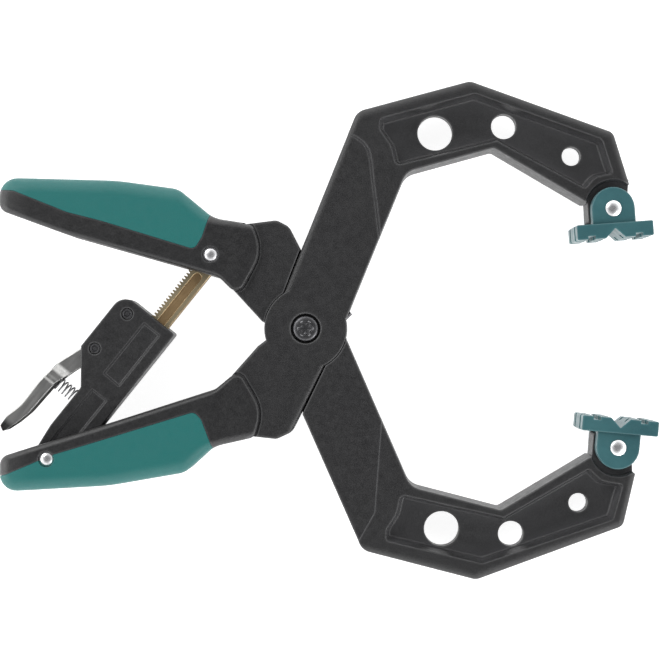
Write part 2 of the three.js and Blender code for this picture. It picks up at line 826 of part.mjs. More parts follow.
// Half of the housing, split at the lap plane, hollowed for the pawl, the lever and the bar.
function housingShell(name, front) {
  const middle = LAP_Z + (front ? 0.1 : -0.1);
  const outerFace = front ? HOUSING_HIGH : HOUSING_LOW;
  const span = front ? [middle, outerFace] : [outerFace, middle];
  const wall = front ? outerFace - HOUSING_WALL : outerFace + HOUSING_WALL;
  const room = front ? [middle - 1, wall] : [wall, middle + 1];
  const barWall = front ? BAR_HIGH + CLEAR : BAR_LOW - CLEAR;
  const barLevels = front ? [middle - 1, barWall] : [barWall, middle + 1];
  const sink = front ? [outerFace - 0.6, outerFace + 1] : [outerFace - 1, outerFace + 0.6];
  const body = cut(
    prism(housingShape, ...span),
    prism(mechanismRoom, ...room),
    prism(barRoom, ...barLevels),
    ...panels.map((panel) => prism(panel, ...sink)),
    disc([0, 0], PIN_R + 0.2, 0, ARM_THICK, 24),
    disc(PAWL_PIN, CROSS_HEAD_R + 0.2, 0, ARM_THICK, 24),
    disc(LEVER_PIN, CROSS_HEAD_R + 0.2, 0, ARM_THICK, 24),
  );
  return mesh(name, body, arm_black());
}

// A headed pin that holds the two shells together; the front head is dimpled.
function crossPin(name, at) {
  const low = HOUSING_LOW + 0.2;
  const high = HOUSING_HIGH - 0.2;
  const body = turned(
    at,
    [
      [0, low],
      [CROSS_HEAD_R, low],
      [CROSS_HEAD_R, low + 1.5],
      [CROSS_PIN_R, low + 1.5],
      [CROSS_PIN_R, high - 1.5],
      [CROSS_HEAD_R, high - 1.5],
      [CROSS_HEAD_R, high],
      [1.35, high],
      [1.15, high - 0.4],
      [0, high - 0.4],
    ],
    20,
  );
  return mesh(name, body, black_steel());
}

// The catch: three teeth that stand just off the bar's, and a tail that the lever pushes.
function pawl() {
  const [px, py] = PAWL_PIN;
  const tips = BAR_EDGE[1] + CLEAR;
  const shape = new THREE.Shape();
  shape.moveTo(px + 3.4, py - 1.8);
  shape.absarc(px, py, 3.6, -0.5, 2.4, false);
  shape.lineTo(px - 9, py + 1.6);
  shape.lineTo(px - 11, py + 0.9);
  shape.lineTo(px - 10.6, py - 1.1);
  shape.lineTo(px - 8.6, py - 3.4);
  shape.lineTo(px - 8.6, tips);
  for (let i = 0; i < 3; i += 1) {
    const x = px - 8.6 + i * TOOTH_PITCH;
    shape.lineTo(x + 0.65 * TOOTH_PITCH, tips + TOOTH_DEPTH);
    shape.lineTo(x + TOOTH_PITCH, tips);
  }
  shape.lineTo(px - 2.6, tips + 1.6);
  const bore = disc(PAWL_PIN, CROSS_PIN_R + 0.15, 0, ARM_THICK, 20);
  const body = cut(prism(shape, BAR_LOW + 0.2, BAR_HIGH - 0.2), bore);
  return mesh("pawl", body, satin_steel());
}

// Pressed channel: a wide finger blade outside, drawn in to a narrow neck in the housing.
const leverBlade = outline([
  [-3.4, 20.5, 0.8],
  [-1.6, 23.3, 1],
  [2.4, 23.3, 3],
  [9, 21.5, 10],
  [20, 21.7, 10],
  [29.6, 20.8, 2],
  [29.6, 15.1, 1],
  [23, 16.5, 8],
  [8, 17.2, 10],
  [2, 18.5, 3],
]);
const leverNeck = outline([
  [26.5, 21.2, 1],
  [30.4, 20.6, 3],
  [39.5, 17.5, 8],
  [46.8, 15.4, 3.2],
  [46.8, 9.6, 3.2],
  [40, 9.8, 3],
  [33.4, 13.2, 4],
  [26.5, 15.6, 1],
]);
const leverArm = outline([
  [40.5, 10],
  [47, 7.2, 1],
  [51.6, 9.2, 0.8],
  [51.4, 10.9, 0.8],
  [47, 12.5],
]);

function releaseLever() {
  const bladeRoom = prism(
    outline([
      [-2.4, 10],
      [-2.4, 20.7],
      [-1, 22.1],
      [2.4, 22.2, 2],
      [9, 20.4, 9],
      [20, 20.6, 9],
      [28.5, 19.8],
      [28.5, 10],
    ]),
    LEVER_WIDE[0] + LEVER_SHEET,
    LEVER_WIDE[1] - LEVER_SHEET,
  );
  const neckRoom = prism(
    outline([
      [27, 10],
      [50, 6],
      [50, 14.6],
      [39.2, 16.3],
      [32, 19],
      [27, 19.9],
    ]),
    LEVER_NECK[0] + LEVER_SHEET,
    LEVER_NECK[1] - LEVER_SHEET,
  );
  const body = join(
    cut(prism(leverBlade, ...LEVER_WIDE), bladeRoom),
    cut(prism(leverNeck, ...LEVER_NECK), neckRoom),
    prism(leverArm, LEVER_NECK[0], LEVER_NECK[0] + LEVER_SHEET),
    prism(leverArm, LEVER_NECK[1] - LEVER_SHEET, LEVER_NECK[1]),
    block([47.2, 8.6, LEVER_NECK[0]], [48.8, 9.9, LEVER_NECK[1]]),
  );
  const bore = disc(LEVER_PIN, CROSS_PIN_R + 0.15, 0, ARM_THICK, 20);
  return mesh("release_lever", cut(body, bore), satin_steel());
}

function leverSpring() {
  const { x, low, high, coil, wire, turns } = LEVER_SPRING;
  const steps = turns * TURN_STEPS;
  const points = Array.from({ length: steps + 1 }, (_, i) => {
    const angle = (i * 2 * Math.PI) / TURN_STEPS;
    const level = low + wire + ((high - low - 2 * wire) * i) / steps;
    return new THREE.Vector3(x + coil * Math.cos(angle), level, LAP_Z + coil * Math.sin(angle));
  });
  return mesh("lever_spring", tube(points, wire, steps), bright_steel());
}

function barStopPin() {
  const body = disc(STOP_PIN, STOP_PIN_R, BAR_LOW - 0.1, BAR_HIGH + 0.1, 16);
  return mesh("bar_stop_pin", body, satin_steel());
}

function ratchet() {
  const group = new THREE.Group();
  group.position.set(LOWER_RIVET[0], LOWER_RIVET[1], 0);
  group.rotation.z = BAR_ANGLE;
  group.add(
    ratchetBar(),
    barStopPin(),
    housingShell("housing_front_shell", true),
    housingShell("housing_rear_shell", false),
    crossPin("pawl_pin", PAWL_PIN),
    crossPin("lever_pin", LEVER_PIN),
    pawl(),
    releaseLever(),
    leverSpring(),
  );
  return group;
}

// ---------- assembly ----------
const clamp = new THREE.Group();
clamp.name = "spring_clamp";
clamp.add(
  frontArm(),
  rearArm(),
  pivotScrew(),
  pivotBarrelNut(),
  pivotWasher(),
  torsionSpring(),
  pad("upper_pad", UPPER_PIN, UPPER_TILT, 1),
  pad("lower_pad", LOWER_PIN, LOWER_TILT, -1),
  rivet("upper_pad_rivet", UPPER_PIN, WIDE_LOW + 0.2, WIDE_HIGH - 0.2, PIN_R, RIVET_HEAD_R, 0.9),
  rivet("lower_pad_rivet", LOWER_PIN, WIDE_LOW + 0.2, WIDE_HIGH - 0.2, PIN_R, RIVET_HEAD_R, 0.9),
  ...handles(),
  barWasher("bar_washer_rear", CHANNEL_LOW + CLEAR, BAR_LOW - CLEAR),
  barWasher("bar_washer_front", BAR_HIGH + CLEAR, CHANNEL_HIGH - CLEAR),
  ratchet(),
);

export default clamp;
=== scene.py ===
"""Looks of a ratcheting spring clamp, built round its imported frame.

Outlines are in millimetres in the frame's own axes: the pivot axis is Z, the jaws point
along +X, the front face is up. A mesh is turned to metres as it is made.
"""
import json
import math

import bmesh
import bpy
import numpy as np
from mathutils import Matrix, Vector


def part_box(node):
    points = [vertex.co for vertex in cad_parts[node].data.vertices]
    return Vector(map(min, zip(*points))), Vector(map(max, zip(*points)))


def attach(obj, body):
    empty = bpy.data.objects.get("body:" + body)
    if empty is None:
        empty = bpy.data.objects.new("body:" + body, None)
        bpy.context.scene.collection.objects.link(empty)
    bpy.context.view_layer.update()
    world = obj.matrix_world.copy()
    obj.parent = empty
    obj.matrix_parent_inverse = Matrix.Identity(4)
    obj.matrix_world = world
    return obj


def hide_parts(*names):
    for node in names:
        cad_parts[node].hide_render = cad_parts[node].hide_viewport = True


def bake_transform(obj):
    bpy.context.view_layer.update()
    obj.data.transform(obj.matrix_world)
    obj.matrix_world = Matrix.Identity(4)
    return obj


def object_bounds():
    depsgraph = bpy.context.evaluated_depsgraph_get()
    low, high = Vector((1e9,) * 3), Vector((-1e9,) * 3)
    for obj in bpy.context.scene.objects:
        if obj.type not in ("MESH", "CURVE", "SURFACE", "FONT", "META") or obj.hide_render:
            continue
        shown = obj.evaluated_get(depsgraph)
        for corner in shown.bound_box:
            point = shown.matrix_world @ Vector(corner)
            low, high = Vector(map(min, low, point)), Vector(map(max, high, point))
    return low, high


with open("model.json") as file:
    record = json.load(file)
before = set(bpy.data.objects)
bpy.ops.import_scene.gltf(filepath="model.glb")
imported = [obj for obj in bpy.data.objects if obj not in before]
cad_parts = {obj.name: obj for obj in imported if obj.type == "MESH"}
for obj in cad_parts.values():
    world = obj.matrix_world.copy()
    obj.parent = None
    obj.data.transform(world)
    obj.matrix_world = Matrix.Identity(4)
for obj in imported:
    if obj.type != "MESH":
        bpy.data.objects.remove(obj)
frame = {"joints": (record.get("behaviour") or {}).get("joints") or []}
cad_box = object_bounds()

MM = 0.001
JOINTS = {joint["name"]: joint for joint in frame["joints"]}

# ---------- driving dimensions ----------
THICK = 20.0  # the arms' thickness; levels run from 0 at the back face
LAP = THICK / 2
LAP_GAP = 0.3
LAP_R = 15.7
WIDE = (-3.5, THICK + 3.5)  # pads and handles
WEB = (7.0, 13.0)  # what is left between the jaws' front and back pockets
TONGUE = (3.6, 16.4)  # the jaw's end, between the pad's ears
SWING = (-0.9, 25.9)  # degrees that the arms turn, with a little to spare at each end
PIVOT = (0.0, 0.0)
PIN_R = 2.0
CLEAR = 0.3
PAST = 1.0  # how far a cutting tool stands past the face that it cuts


def joint_point(name):
    """Where a hinge's axis crosses the drawing, in millimetres."""
    x, y, _ = JOINTS[name]["pos_m"]
    return x / MM, y / MM


def node_centre(node):
    """Middle of a node's box, in millimetres."""
    low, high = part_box(node)
    middle = (low + high) / 2 / MM
    return middle.x, middle.y


UPPER_PIN = joint_point("upper_pad_swivel")
LOWER_PIN = joint_point("lower_pad_swivel")
LOWER_RIVET = joint_point("housing_pivot")
UPPER_RIVET = node_centre("upper_handle_rivet")
BAR_LENGTH = math.dist(LOWER_RIVET, UPPER_RIVET)
BAR_TURN = math.atan2(UPPER_RIVET[1] - LOWER_RIVET[1], UPPER_RIVET[0] - LOWER_RIVET[0])


# ---------- outlines ----------
def quarter(steps=4):
    """Angles from 0 to a right angle."""
    return [k / steps * math.pi / 2 for k in range(steps + 1)]


def ring(corners, inset=0.0, share=0.0, steps=7):
    """Points of a closed outline of corners (x, y, radius, width), every corner an arc.

    Each side is moved inwards by inset plus share times its own width. The width at each
    point is returned too.
    """
    rows = [tuple(c) + (0.0,) * (4 - len(c)) for c in corners]
    at = np.array([row[:2] for row in rows])
    radius = [row[2] for row in rows]
    width = np.array([row[3] for row in rows])
    side = np.roll(at, -1, axis=0) - at
    area = np.sum(at[:, 0] * np.roll(at[:, 1], -1) - np.roll(at[:, 0], -1) * at[:, 1])
    turn = math.copysign(1.0, area)
    side /= np.linalg.norm(side, axis=1)[:, None]
    inward = turn * np.column_stack([-side[:, 1], side[:, 0]])
    moved = inset + share * width
    points = []
    widths = []
    for i in range(len(rows)):
        a, b = side[i - 1], side[i]
        bend = math.atan2(a[0] * b[1] - a[1] * b[0], a @ b)
        if abs(bend) < 1e-3:
            shift = inward[i] * moved[i]
        else:
            shift = np.linalg.solve([inward[i - 1], inward[i]], [moved[i - 1], moved[i]])
        mean = (moved[i - 1] + moved[i]) / 2
        r = max(0.0, radius[i] - mean if bend * turn > 0 else radius[i] + mean)
        if radius[i] == 0:
            r = 0.0
        start = at[i] + shift - a * r * math.tan(abs(bend) / 2)
        centre = start + math.copysign(r, bend) * np.array([-a[1], a[0]])
        spoke = start - centre
        for k in range(steps + 1):
            t = k / steps
            c, s = math.cos(bend * t), math.sin(bend * t)
            points.append(centre + [c * spoke[0] - s * spoke[1], s * spoke[0] + c * spoke[1]])
            widths.append(width[i - 1] * (1 - t) + width[i] * t)
    return np.array(points), np.array(widths)


def polar(radius, angle):
    return radius * math.cos(angle), radius * math.sin(angle)


def turned_by(points, degrees, about=PIVOT):
    """Points of the drawing, turned about one of its points."""
    c, s = math.cos(math.radians(degrees)), math.sin(math.radians(degrees))
    moved = np.array(points) - about
    return moved @ np.array([[c, s], [-s, c]]) + about


def lifted(points, level):
    """Points of the drawing at a level, or each at its own."""
    return np.column_stack([points, np.broadcast_to(level, len(points))])


# ---------- solids ----------
WELD = 2e-7  # metres; points of a ring that lie closer are one vertex


def linked(name, mesh):
    obj = bpy.data.objects.new(name, mesh)
    bpy.context.scene.collection.objects.link(obj)
    return obj


def loft(name, rings):
    """A closed solid through rings that have the same number of points each."""
    bm = bmesh.new()
    rows = []
    for points in rings:
        row = []
        for p in points:
            spot = Vector(p) * MM
            if row and (row[-1].co - spot).length < WELD:
                row.append(row[-1])
            else:
                row.append(bm.verts.new(spot))
        if (row[0].co - row[-1].co).length < WELD and row[0] is not row[-1]:
            last = row[-1]
            row = [row[0] if v is last else v for v in row]
            bm.verts.remove(last)
        rows.append(row)

    def face(verts):
        found = list(dict.fromkeys(verts))
        if len(found) > 2:
            return bm.faces.new(found)

    for below, above in zip(rows, rows[1:]):
        for i in range(len(below)):
            face([below[i - 1], below[i], above[i], above[i - 1]])
    caps = [face(rows[0][::-1]), face(rows[-1])]
    for cap in caps:
        cap.normal_update()
    bmesh.ops.triangulate(bm, faces=caps)
    bmesh.ops.recalc_face_normals(bm, faces=bm.faces)
    mesh = bpy.data.meshes.new(name)
    bm.to_mesh(mesh)
    bm.free()
    return linked(name, mesh)


def slab(corners, low, high, foot=0.0, top=0.0, ratio=0.6, draft=0.0, inset=0.0, rounds=5):
    """A solid between two levels. foot and top are the shares of each side's own width that
    the two rims are rounded over by, and ratio is a rim's height to its width. The walls
    lean in by draft from the middle level to the rims."""
    rings = []
    for end, share, way in ((low, foot, 1), (high, top, -1)):
        rim = []
        for a in quarter(rounds) if share else [math.pi / 2]:
            points, width = ring(corners, inset + draft, share * (1 - math.sin(a)))
            rim.append(lifted(points, end + way * ratio * share * width * (1 - math.cos(a))))
        rings.append(rim[:: 1 if way > 0 else -1])
    middle = [lifted(ring(corners, inset)[0], (low + high) / 2)] if draft else []
    return loft("slab", rings[0] + middle + rings[1])


def prism(points, low, high):
    return loft("prism", [lifted(points, low), lifted(points, high)])


def sunk(corners, floor, face, draft=0.9, fillet=1.1, lip=0.35):
    """Tool for a pocket that opens at the face level: a rounded foot, a drafted wall and a
    softened lip."""
    way = 1 if face > floor else -1
    depth = abs(face - floor)
    arc = quarter()
    foot = [(draft + fillet * (1 - math.sin(a)), fillet * (1 - math.cos(a))) for a in arc]
    edge = [(-lip * (1 - math.cos(a)), depth - lip + lip * math.sin(a)) for a in arc]
    levels = foot + edge + [(-lip, depth + 2 * PAST)]
    return loft("sunk", [lifted(ring(corners, i)[0], floor + way * h) for i, h in levels])


def turned(at, profile, count=48):
    """A solid of revolution about Z through a point, from (radius, level) pairs."""
    angles = np.arange(count) * 2 * math.pi / count
    spokes = np.column_stack([np.cos(angles), np.sin(angles)])
    rings = [lifted(np.array(at) + max(r, 1e-3) * spokes, z) for r, z in profile]
    return loft("turned", rings)


def disc(at, radius, low, high, count=48):
    return turned(at, [(radius, low), (radius, high)], count)


def hole(at, radius, low, high, lip=0.3, count=48):
    """Tool for a through hole whose two edges are softened."""
    lower = [(radius + lip * (1 - math.sin(a)), low + lip * (1 - math.cos(a))) for a in quarter()]
    upper = [(r, low + high - z) for r, z in lower[::-1]]
    ends = [(radius + lip, low - PAST)], [(radius + lip, high + PAST)]
    return turned(at, ends[0] + lower + upper + ends[1], count)


def box(low, high):
    (x0, y0, z0), (x1, y1, z1) = low, high
    return prism(np.array([(x0, y0), (x1, y0), (x1, y1), (x0, y1)]), z0, z1)


def combine(body, tools, operation):
    """Takes each tool from the body, adds it or keeps what both hold, and uses it up."""
    for tool in tools:
        step = body.modifiers.new("step", "BOOLEAN")
        step.operation = operation
        step.solver = "MANIFOLD"
        step.object = tool
    shown = body.evaluated_get(bpy.context.evaluated_depsgraph_get())
    result = bpy.data.meshes.new_from_object(shown)
    body.modifiers.clear()
    body.data = result
    for tool in tools:
        bpy.data.objects.remove(tool)
    return body


def cut(body, *tools):
    return combine(body, tools, "DIFFERENCE")


def join(body, *others):
    return combine(body, others, "UNION")


def keep(body, tool):
    return combine(body, [tool], "INTERSECT")


def reshaped(obj, bands, shape):
    """Moves every point by a shape function of its place, once the faces are split at each
    band, a value of x."""
    bm = bmesh.new()
    bm.from_mesh(obj.data)
    for x in bands:
        everything = bm.verts[:] + bm.edges[:] + bm.faces[:]
        bmesh.ops.bisect_plane(bm, geom=everything, plane_co=(x * MM, 0, 0), plane_no=(1, 0, 0))
    bmesh.ops.triangulate(bm, faces=bm.faces)
    bm.verts.ensure_lookup_table()
    points = np.array([vert.co for vert in bm.verts]) / MM
    for vert, point in zip(bm.verts, shape(points)):
        vert.co = Vector(point) * MM
    bm.to_mesh(obj.data)
    bm.free()
    return obj


def tube(name, path, radius, sides=12):
    """A round wire along a path, closed at both ends."""
    path = [Vector(p) for p in path]
    rings = []
    across = None
    for i, here in enumerate(path):
        along = (path[min(i + 1, len(path) - 1)] - path[max(i - 1, 0)]).normalized()
        if across is None:
            across = along.orthogonal().normalized()
        across = (across - along * across.dot(along)).normalized()
        up = along.cross(across)
        spokes = (k * 2 * math.pi / sides for k in range(sides))
        rings.append([here + radius * (across * math.cos(a) + up * math.sin(a)) for a in spokes])
    return loft(name, rings)


# ---------- materials ----------
class Surface:
    """A principled material with short calls for the nodes that feed it."""

    def __init__(self, name, **values):
        self.material = bpy.data.materials.new(name)
        self.material.use_nodes = True
        self.nodes = self.material.node_tree.nodes
        self.links = self.material.node_tree.links
        self.shader = self.nodes["Principled BSDF"]
        for key, value in values.items():
            self.shader.inputs[key.replace("_", " ")].default_value = value
        self.place = self.nodes.new("ShaderNodeTexCoord").outputs["Object"]

    def stretched(self, scale, turn=0.0):
        """The place in axes turned about Z, where noise is scale times as long."""
        node = self.nodes.new("ShaderNodeMapping")
        node.vector_type = "TEXTURE"
        node.inputs["Scale"].default_value = scale
        node.inputs["Rotation"].default_value = (0, 0, turn)
        self.links.new(self.place, node.inputs["Vector"])
        return node.outputs["Vector"]

    def split(self, vector, axis):
        node = self.nodes.new("ShaderNodeSeparateXYZ")
        self.links.new(vector, node.inputs["Vector"])
        return node.outputs[axis]

    def noise(self, scale, detail=4.0, roughness=0.55, place=None):
        node = self.nodes.new("ShaderNodeTexNoise")
        node.inputs["Scale"].default_value = scale
        node.inputs["Detail"].default_value = detail
        node.inputs["Roughness"].default_value = roughness
        self.links.new(place or self.place, node.inputs["Vector"])
        return node.outputs["Fac"]

    def ranged(self, value, low, high, start=0.3, end=0.7):
        """Runs from low to high as the value goes from start to end, and stays within them."""
        node = self.nodes.new("ShaderNodeMapRange")
        for key, number in zip(("From Min", "From Max", "To Min", "To Max"), (start, end, low, high)):
            node.inputs[key].default_value = number
        self.links.new(value, node.inputs["Value"])
        return node.outputs["Result"]

    def mixed(self, value, first, second):
        """The first colour where the value is 0 and the second where it is 1."""
        node = self.nodes.new("ShaderNodeMix")
        node.data_type = "RGBA"
        self.links.new(value, node.inputs["Factor"])
        for socket, colour in ((node.inputs["A"], first), (node.inputs["B"], second)):
            if isinstance(colour, bpy.types.NodeSocket):
                self.links.new(colour, socket)
            else:
                socket.default_value = (*colour, 1)
        return node.outputs["Result"]

    def occlusion(self, reach, inside):
        """1 where a spot sees nothing of its own piece within a reach, outwards or inwards."""
        node = self.nodes.new("ShaderNodeAmbientOcclusion")
        node.inside = inside
        node.only_local = True
        node.samples = 6
        node.inputs["Distance"].default_value = reach
        return node.outputs["AO"]

    def edges(self, reach=0.0007, low=0.45, high=0.95):
        """How near a spot is to an outer edge, from 0 to 1, by how much of the inside it sees."""
        return self.ranged(self.occlusion(reach, True), 0, 1, high, low)

    def hollows(self):
        """How deep a spot lies in a pocket of its own piece, from 0 to 1."""
        return self.ranged(self.occlusion(0.012, False), 1, 0, 0.62, 0.9)

    def bump(self, heights):
        """heights are (height, distance in metres) pairs, one bump on the other."""
        normal = None
        for height, distance in heights:
            node = self.nodes.new("ShaderNodeBump")
            node.inputs["Distance"].default_value = distance
            self.links.new(height, node.inputs["Height"])
            if normal:
                self.links.new(normal, node.inputs["Normal"])
            normal = node.outputs["Normal"]
        self.links.new(normal, self.shader.inputs["Normal"])

    def feed(self, **values):
        for key, value in values.items():
            self.links.new(value, self.shader.inputs[key.replace("_", " ")])


def times(colour, factor):
    return tuple(channel * factor for channel in colour)


def moulded(name, colour, roughness, grain=1.0, edge_wear_and_highlight=(0.09, 0.09, 0.092)):
    """Hard black plastic from a spark-eroded mould: fine grain, faint flow marks, edges painted
    lighter as wear and painted highlight, and painted light that makes the pockets paler."""
    s = Surface(name, IOR=1.5, Specular_IOR_Level=0.42)
    fine = s.noise(2300, 3, 0.6)
    cloud = s.noise(55, 5, 0.6)
    grit = s.ranged(s.noise(2100, 2), 0, 1, 0.4, 0.6)
    speck = s.mixed(grit, times(colour, 0.6), times(colour, 1.45))
    flow_and_pocket_light = s.mixed(s.ranged(cloud, 0, 0.35), speck, times(colour, 1.25))
    # Painted light: the deeper a spot lies in a pocket, the paler it is painted.
    flow_and_pocket_light = s.mixed(s.hollows(), flow_and_pocket_light, times(colour, 4.6))
    s.feed(
        # Edges are painted lighter: part rubbed wear, part painted highlight.
        Base_Color=s.mixed(s.edges(), flow_and_pocket_light, edge_wear_and_highlight),
        Roughness=s.ranged(s.noise(420, 4), roughness - 0.07, roughness + 0.08),
    )
    s.bump([(fine, 0.00005 * grain), (s.noise(5200, 2), 0.000018 * grain)])
    return s.material


def soft(name, colour, light, roughness, sheen=0.25):
    """Matte soft-touch rubber with a fine skin, a slight bloom, and edges painted light as a painted highlight."""
    s = Surface(name, IOR=1.48, Specular_IOR_Level=0.35, Sheen_Weight=sheen, Sheen_Roughness=0.4)
    fine = s.noise(2600, 3, 0.6)
    cloud = s.noise(70, 5, 0.6)
    skin = s.mixed(s.ranged(fine, 0, 1), times(colour, 0.88), times(colour, 1.12))
    bloom = s.mixed(s.ranged(cloud, 0, 0.5), skin, light)
    s.feed(
        # Painted highlight: the edges are painted in the light colour.
        Base_Color=s.mixed(s.edges(), bloom, light),
        Roughness=s.ranged(s.noise(500, 4), roughness - 0.06, roughness + 0.08),
    )
    s.bump([(fine, 0.00003)])
    return s.material


def metal(name, colour, roughness, brushed=(1, 1, 1), turn=0.0, mottle=0.12, scratch=0.000006,
          edge_wear_and_highlight=None, rims=None, shaded_tip=None):
    """Plated or rolled steel: a drawn grain along one direction and slight staining. rims is
    (level, colour): the coating is rubbed to that colour from just under the level upwards.
    The tip pair is (start, full), along the bar: past there the steel is painted nearly black, painted shade on the
    lever's bent tip."""
    s = Surface(name, Metallic=1.0)
    grain = s.noise(900, 4, 0.65, s.stretched(brushed, turn))
    stain = s.noise(160, 5, 0.6)
    tone = s.mixed(s.ranged(stain, 0, 1), times(colour, 1 - mottle), times(colour, 1 + mottle))
    # Edges are painted in the rubbed colour: part wear, part painted highlight.
    tone = s.mixed(s.edges(0.0003, 0.6, 0.95), tone, edge_wear_and_highlight or colour)
    if rims:
        level = rims[0] * MM
        high = s.ranged(s.split(s.place, "Z"), 0, 1, level - 0.2 * MM, level - 0.05 * MM)
        tone = s.mixed(high, tone, rims[1])
    # Painted shade: the lever's steel darkens towards its tip.
    if shaded_tip:
        along = s.split(s.stretched((1, 1, 1), BAR_TURN), "X")
        foot = np.dot(LOWER_RIVET, (math.cos(BAR_TURN), math.sin(BAR_TURN)))
        start, full = [(foot + x) * MM for x in shaded_tip]
        tone = s.mixed(s.ranged(along, 1, 0, full, start), tone, times(colour, 0.12))
    s.feed(
        Base_Color=s.mixed(s.ranged(grain, 0, 0.6), tone, times(colour, 0.6)),
        Roughness=s.ranged(grain, roughness * 0.75, roughness * 1.3),
    )
    s.bump([(grain, scratch)])
    return s.material


BLACK = (0.0125, 0.0125, 0.013)
TEAL = (0.008, 0.104, 0.097)
BRONZE = (0.34, 0.235, 0.125)
OLIVE = (0.4, 0.345, 0.23)
arm_plastic = moulded("arm plastic", BLACK, 0.42, grain=1.6)
sleeve_plastic = moulded("sleeve plastic", times(BLACK, 0.9), 0.38, 1.3, edge_wear_and_highlight=(0.05, 0.05, 0.052))
housing_plastic = moulded("housing plastic", times(BLACK, 1.05), 0.4, grain=1.4)
grip_rubber = soft("grip rubber", TEAL, (0.01, 0.1, 0.096), 0.5, 0.03)
pad_rubber = soft("pad rubber", (0.02, 0.07, 0.08), (0.045, 0.13, 0.14), 0.36, 0.1)
chrome = metal("bright plating", (0.88, 0.88, 0.89), 0.26, mottle=0.05, scratch=0.000002)
spring_wire = metal("spring wire", (0.3, 0.3, 0.31), 0.3)
zinc = metal("zinc plating", (0.62, 0.62, 0.6), 0.34)
lever_steel = metal(
    "satin steel", (0.42, 0.42, 0.41), 0.34, (10, 1, 1), BAR_TURN, shaded_tip=(1.8, -0.4),
)
black_oxide = metal("black oxide", (0.11, 0.11, 0.115), 0.36, mottle=0.2, edge_wear_and_highlight=(0.5, 0.5, 0.51))
bronzed = metal("yellow passivation", BRONZE, 0.5, (9, 1, 1), BAR_TURN, 0.16, rims=(12, OLIVE))


# ---------- finishing a piece ----------
def shade(mesh, sharp):
    """Keeps flats flat right up to their rounded edges. A face corner's normal is the mean of
    the flats round its point that meet its own at less than sharp degrees, by their area."""
    bm = bmesh.new()
    bm.from_mesh(mesh)
    bm.faces.ensure_lookup_table()
    level = math.cos(math.radians(0.5))
    flat = {}
    areas = []
    for face in bm.faces:
        if face.index in flat:
            continue
        flat[face.index] = len(areas)
        members = [face]
        for member in members:
            for edge in member.edges:
                for other in edge.link_faces:
                    if other.index not in flat and other.normal.dot(face.normal) > level:
                        flat[other.index] = len(areas)
                        members.append(other)
        areas.append(sum(member.calc_area() for member in members))
    limit = math.cos(math.radians(sharp))
    normals = []
    for face in bm.faces:
        for vert in face.verts:
            near = {flat[o.index]: o.normal for o in vert.link_faces if o.normal.dot(face.normal) > limit}
            total = Vector()
            for key, normal in near.items():
                total += normal * areas[key]
            normals.append(total.normalized() if total.length else face.normal.copy())
    bm.free()
    mesh.shade_smooth()
    mesh.normals_split_custom_set(normals)


def finished(obj, name, body, nodes, look, slot, sharp=32):
    """Names, cleans, shades and mounts a piece on its body in place of its CAD nodes."""
    obj.name = name
    bm = bmesh.new()
    bm.from_mesh(obj.data)
    bmesh.ops.remove_doubles(bm, verts=bm.verts, dist=1e-6)
    bmesh.ops.dissolve_degenerate(bm, dist=1e-7, edges=bm.edges)
    loose = [v for v in bm.verts if not v.link_faces]
    bmesh.ops.delete(bm, geom=loose, context="VERTS")
    bm.to_mesh(obj.data)
    bm.free()
    obj.data.name = name
    obj.data.materials.clear()
    obj.data.materials.append(look)
    shade(obj.data, sharp)
    if body:
        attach(obj, body)
    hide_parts(*nodes)
    return obj


# ---------- arms ----------
# Corners are (x, y, radius, rim), where rim is how far the side that starts there is
# rounded over: broad round the crown, narrow along the throat.
FRONT_JAW = [
    (19.5, 82.9, 6, 3.6), (62.7, 94.5, 5, 3.6), (117.2, 74.9, 3.6, 2.9), (123.4, 55, 0.8, 0.6),
    (118, 50, 0.5, 0.6), (107.3, 47.7, 0.6, 0.9), (71.6, 68.6, 2, 0.9), (38.3, 59.5, 7, 0.6),
    (13.5, -1.4, 0.5, 0.6), (-12.6, 3.2, 0.5, 2.7),
]
REAR_JAW = [
    (21.6, -84.7, 6, 3.6), (65, -95.9, 5, 3.6), (121, -75.4, 3.6, 2.9),
    (125.7, -55.4, 0.8, 0.6), (120, -50.5, 0.5, 0.6), (108.9, -48.4, 0.6, 0.9),
    (74.3, -69, 2, 0.9), (40, -60.1, 7, 0.8), (13.2, 1.5, 0.5, 0.8), (-10.4, -12, 0.5, 1.0),
]
FRONT_WEB = [
    (10.1, -8.9, 0.5, 2.6), (-5.2, -39.5, 4, 1.4), (-11, -42.2, 4, 1.2), (-27, -40.4, 0.5, 1.2),
    (-29.3, -19.1, 0.5, 1.3), (-18.2, -6.6, 2, 1.3), (-12, -2, 1, 0.6),
]
REAR_WEB = [
    (9, 8.4, 0.5, 1.2), (-6.4, 39, 4, 1.4), (-11, 41.4, 4, 1.2), (-27, 39.4, 0.5, 0.8),
    (-30.2, 17.4, 0.5, 0.8), (-16.6, 2.6, 2, 1.0), (-12, -1, 1, 0.6),
]
FRONT_POCKET = [
    (28.5, 79.8, 1.5), (64.4, 89.3, 2), (112.6, 71.9, 2), (116.8, 59, 1), (110, 57.6, 5),
    (106.4, 53.3, 1), (72.8, 71.4, 1), (34.4, 62.0, 2), (32.6, 69.5, 5), (28.2, 76, 3),
]
REAR_POCKET = [
    (30.6, -80.6, 1.5), (67.3, -89.3, 2), (116.8, -72.6, 2), (120.6, -59.4, 1), (112.5, -58, 5),
    (107.7, -53.4, 1), (75.4, -71.9, 1), (36.2, -63.2, 2), (34.6, -70.5, 5), (30.8, -76.4, 3),
]
FRONT_HOLES = [(49.5, 75.2, 6.7), (75.9, 77.7, 4.8), (101.9, 66.3, 3.65)]
REAR_HOLES = [(52, -76.9, 6.7), (78.6, -78.8, 4.85), (104.5, -66.9, 3.65)]
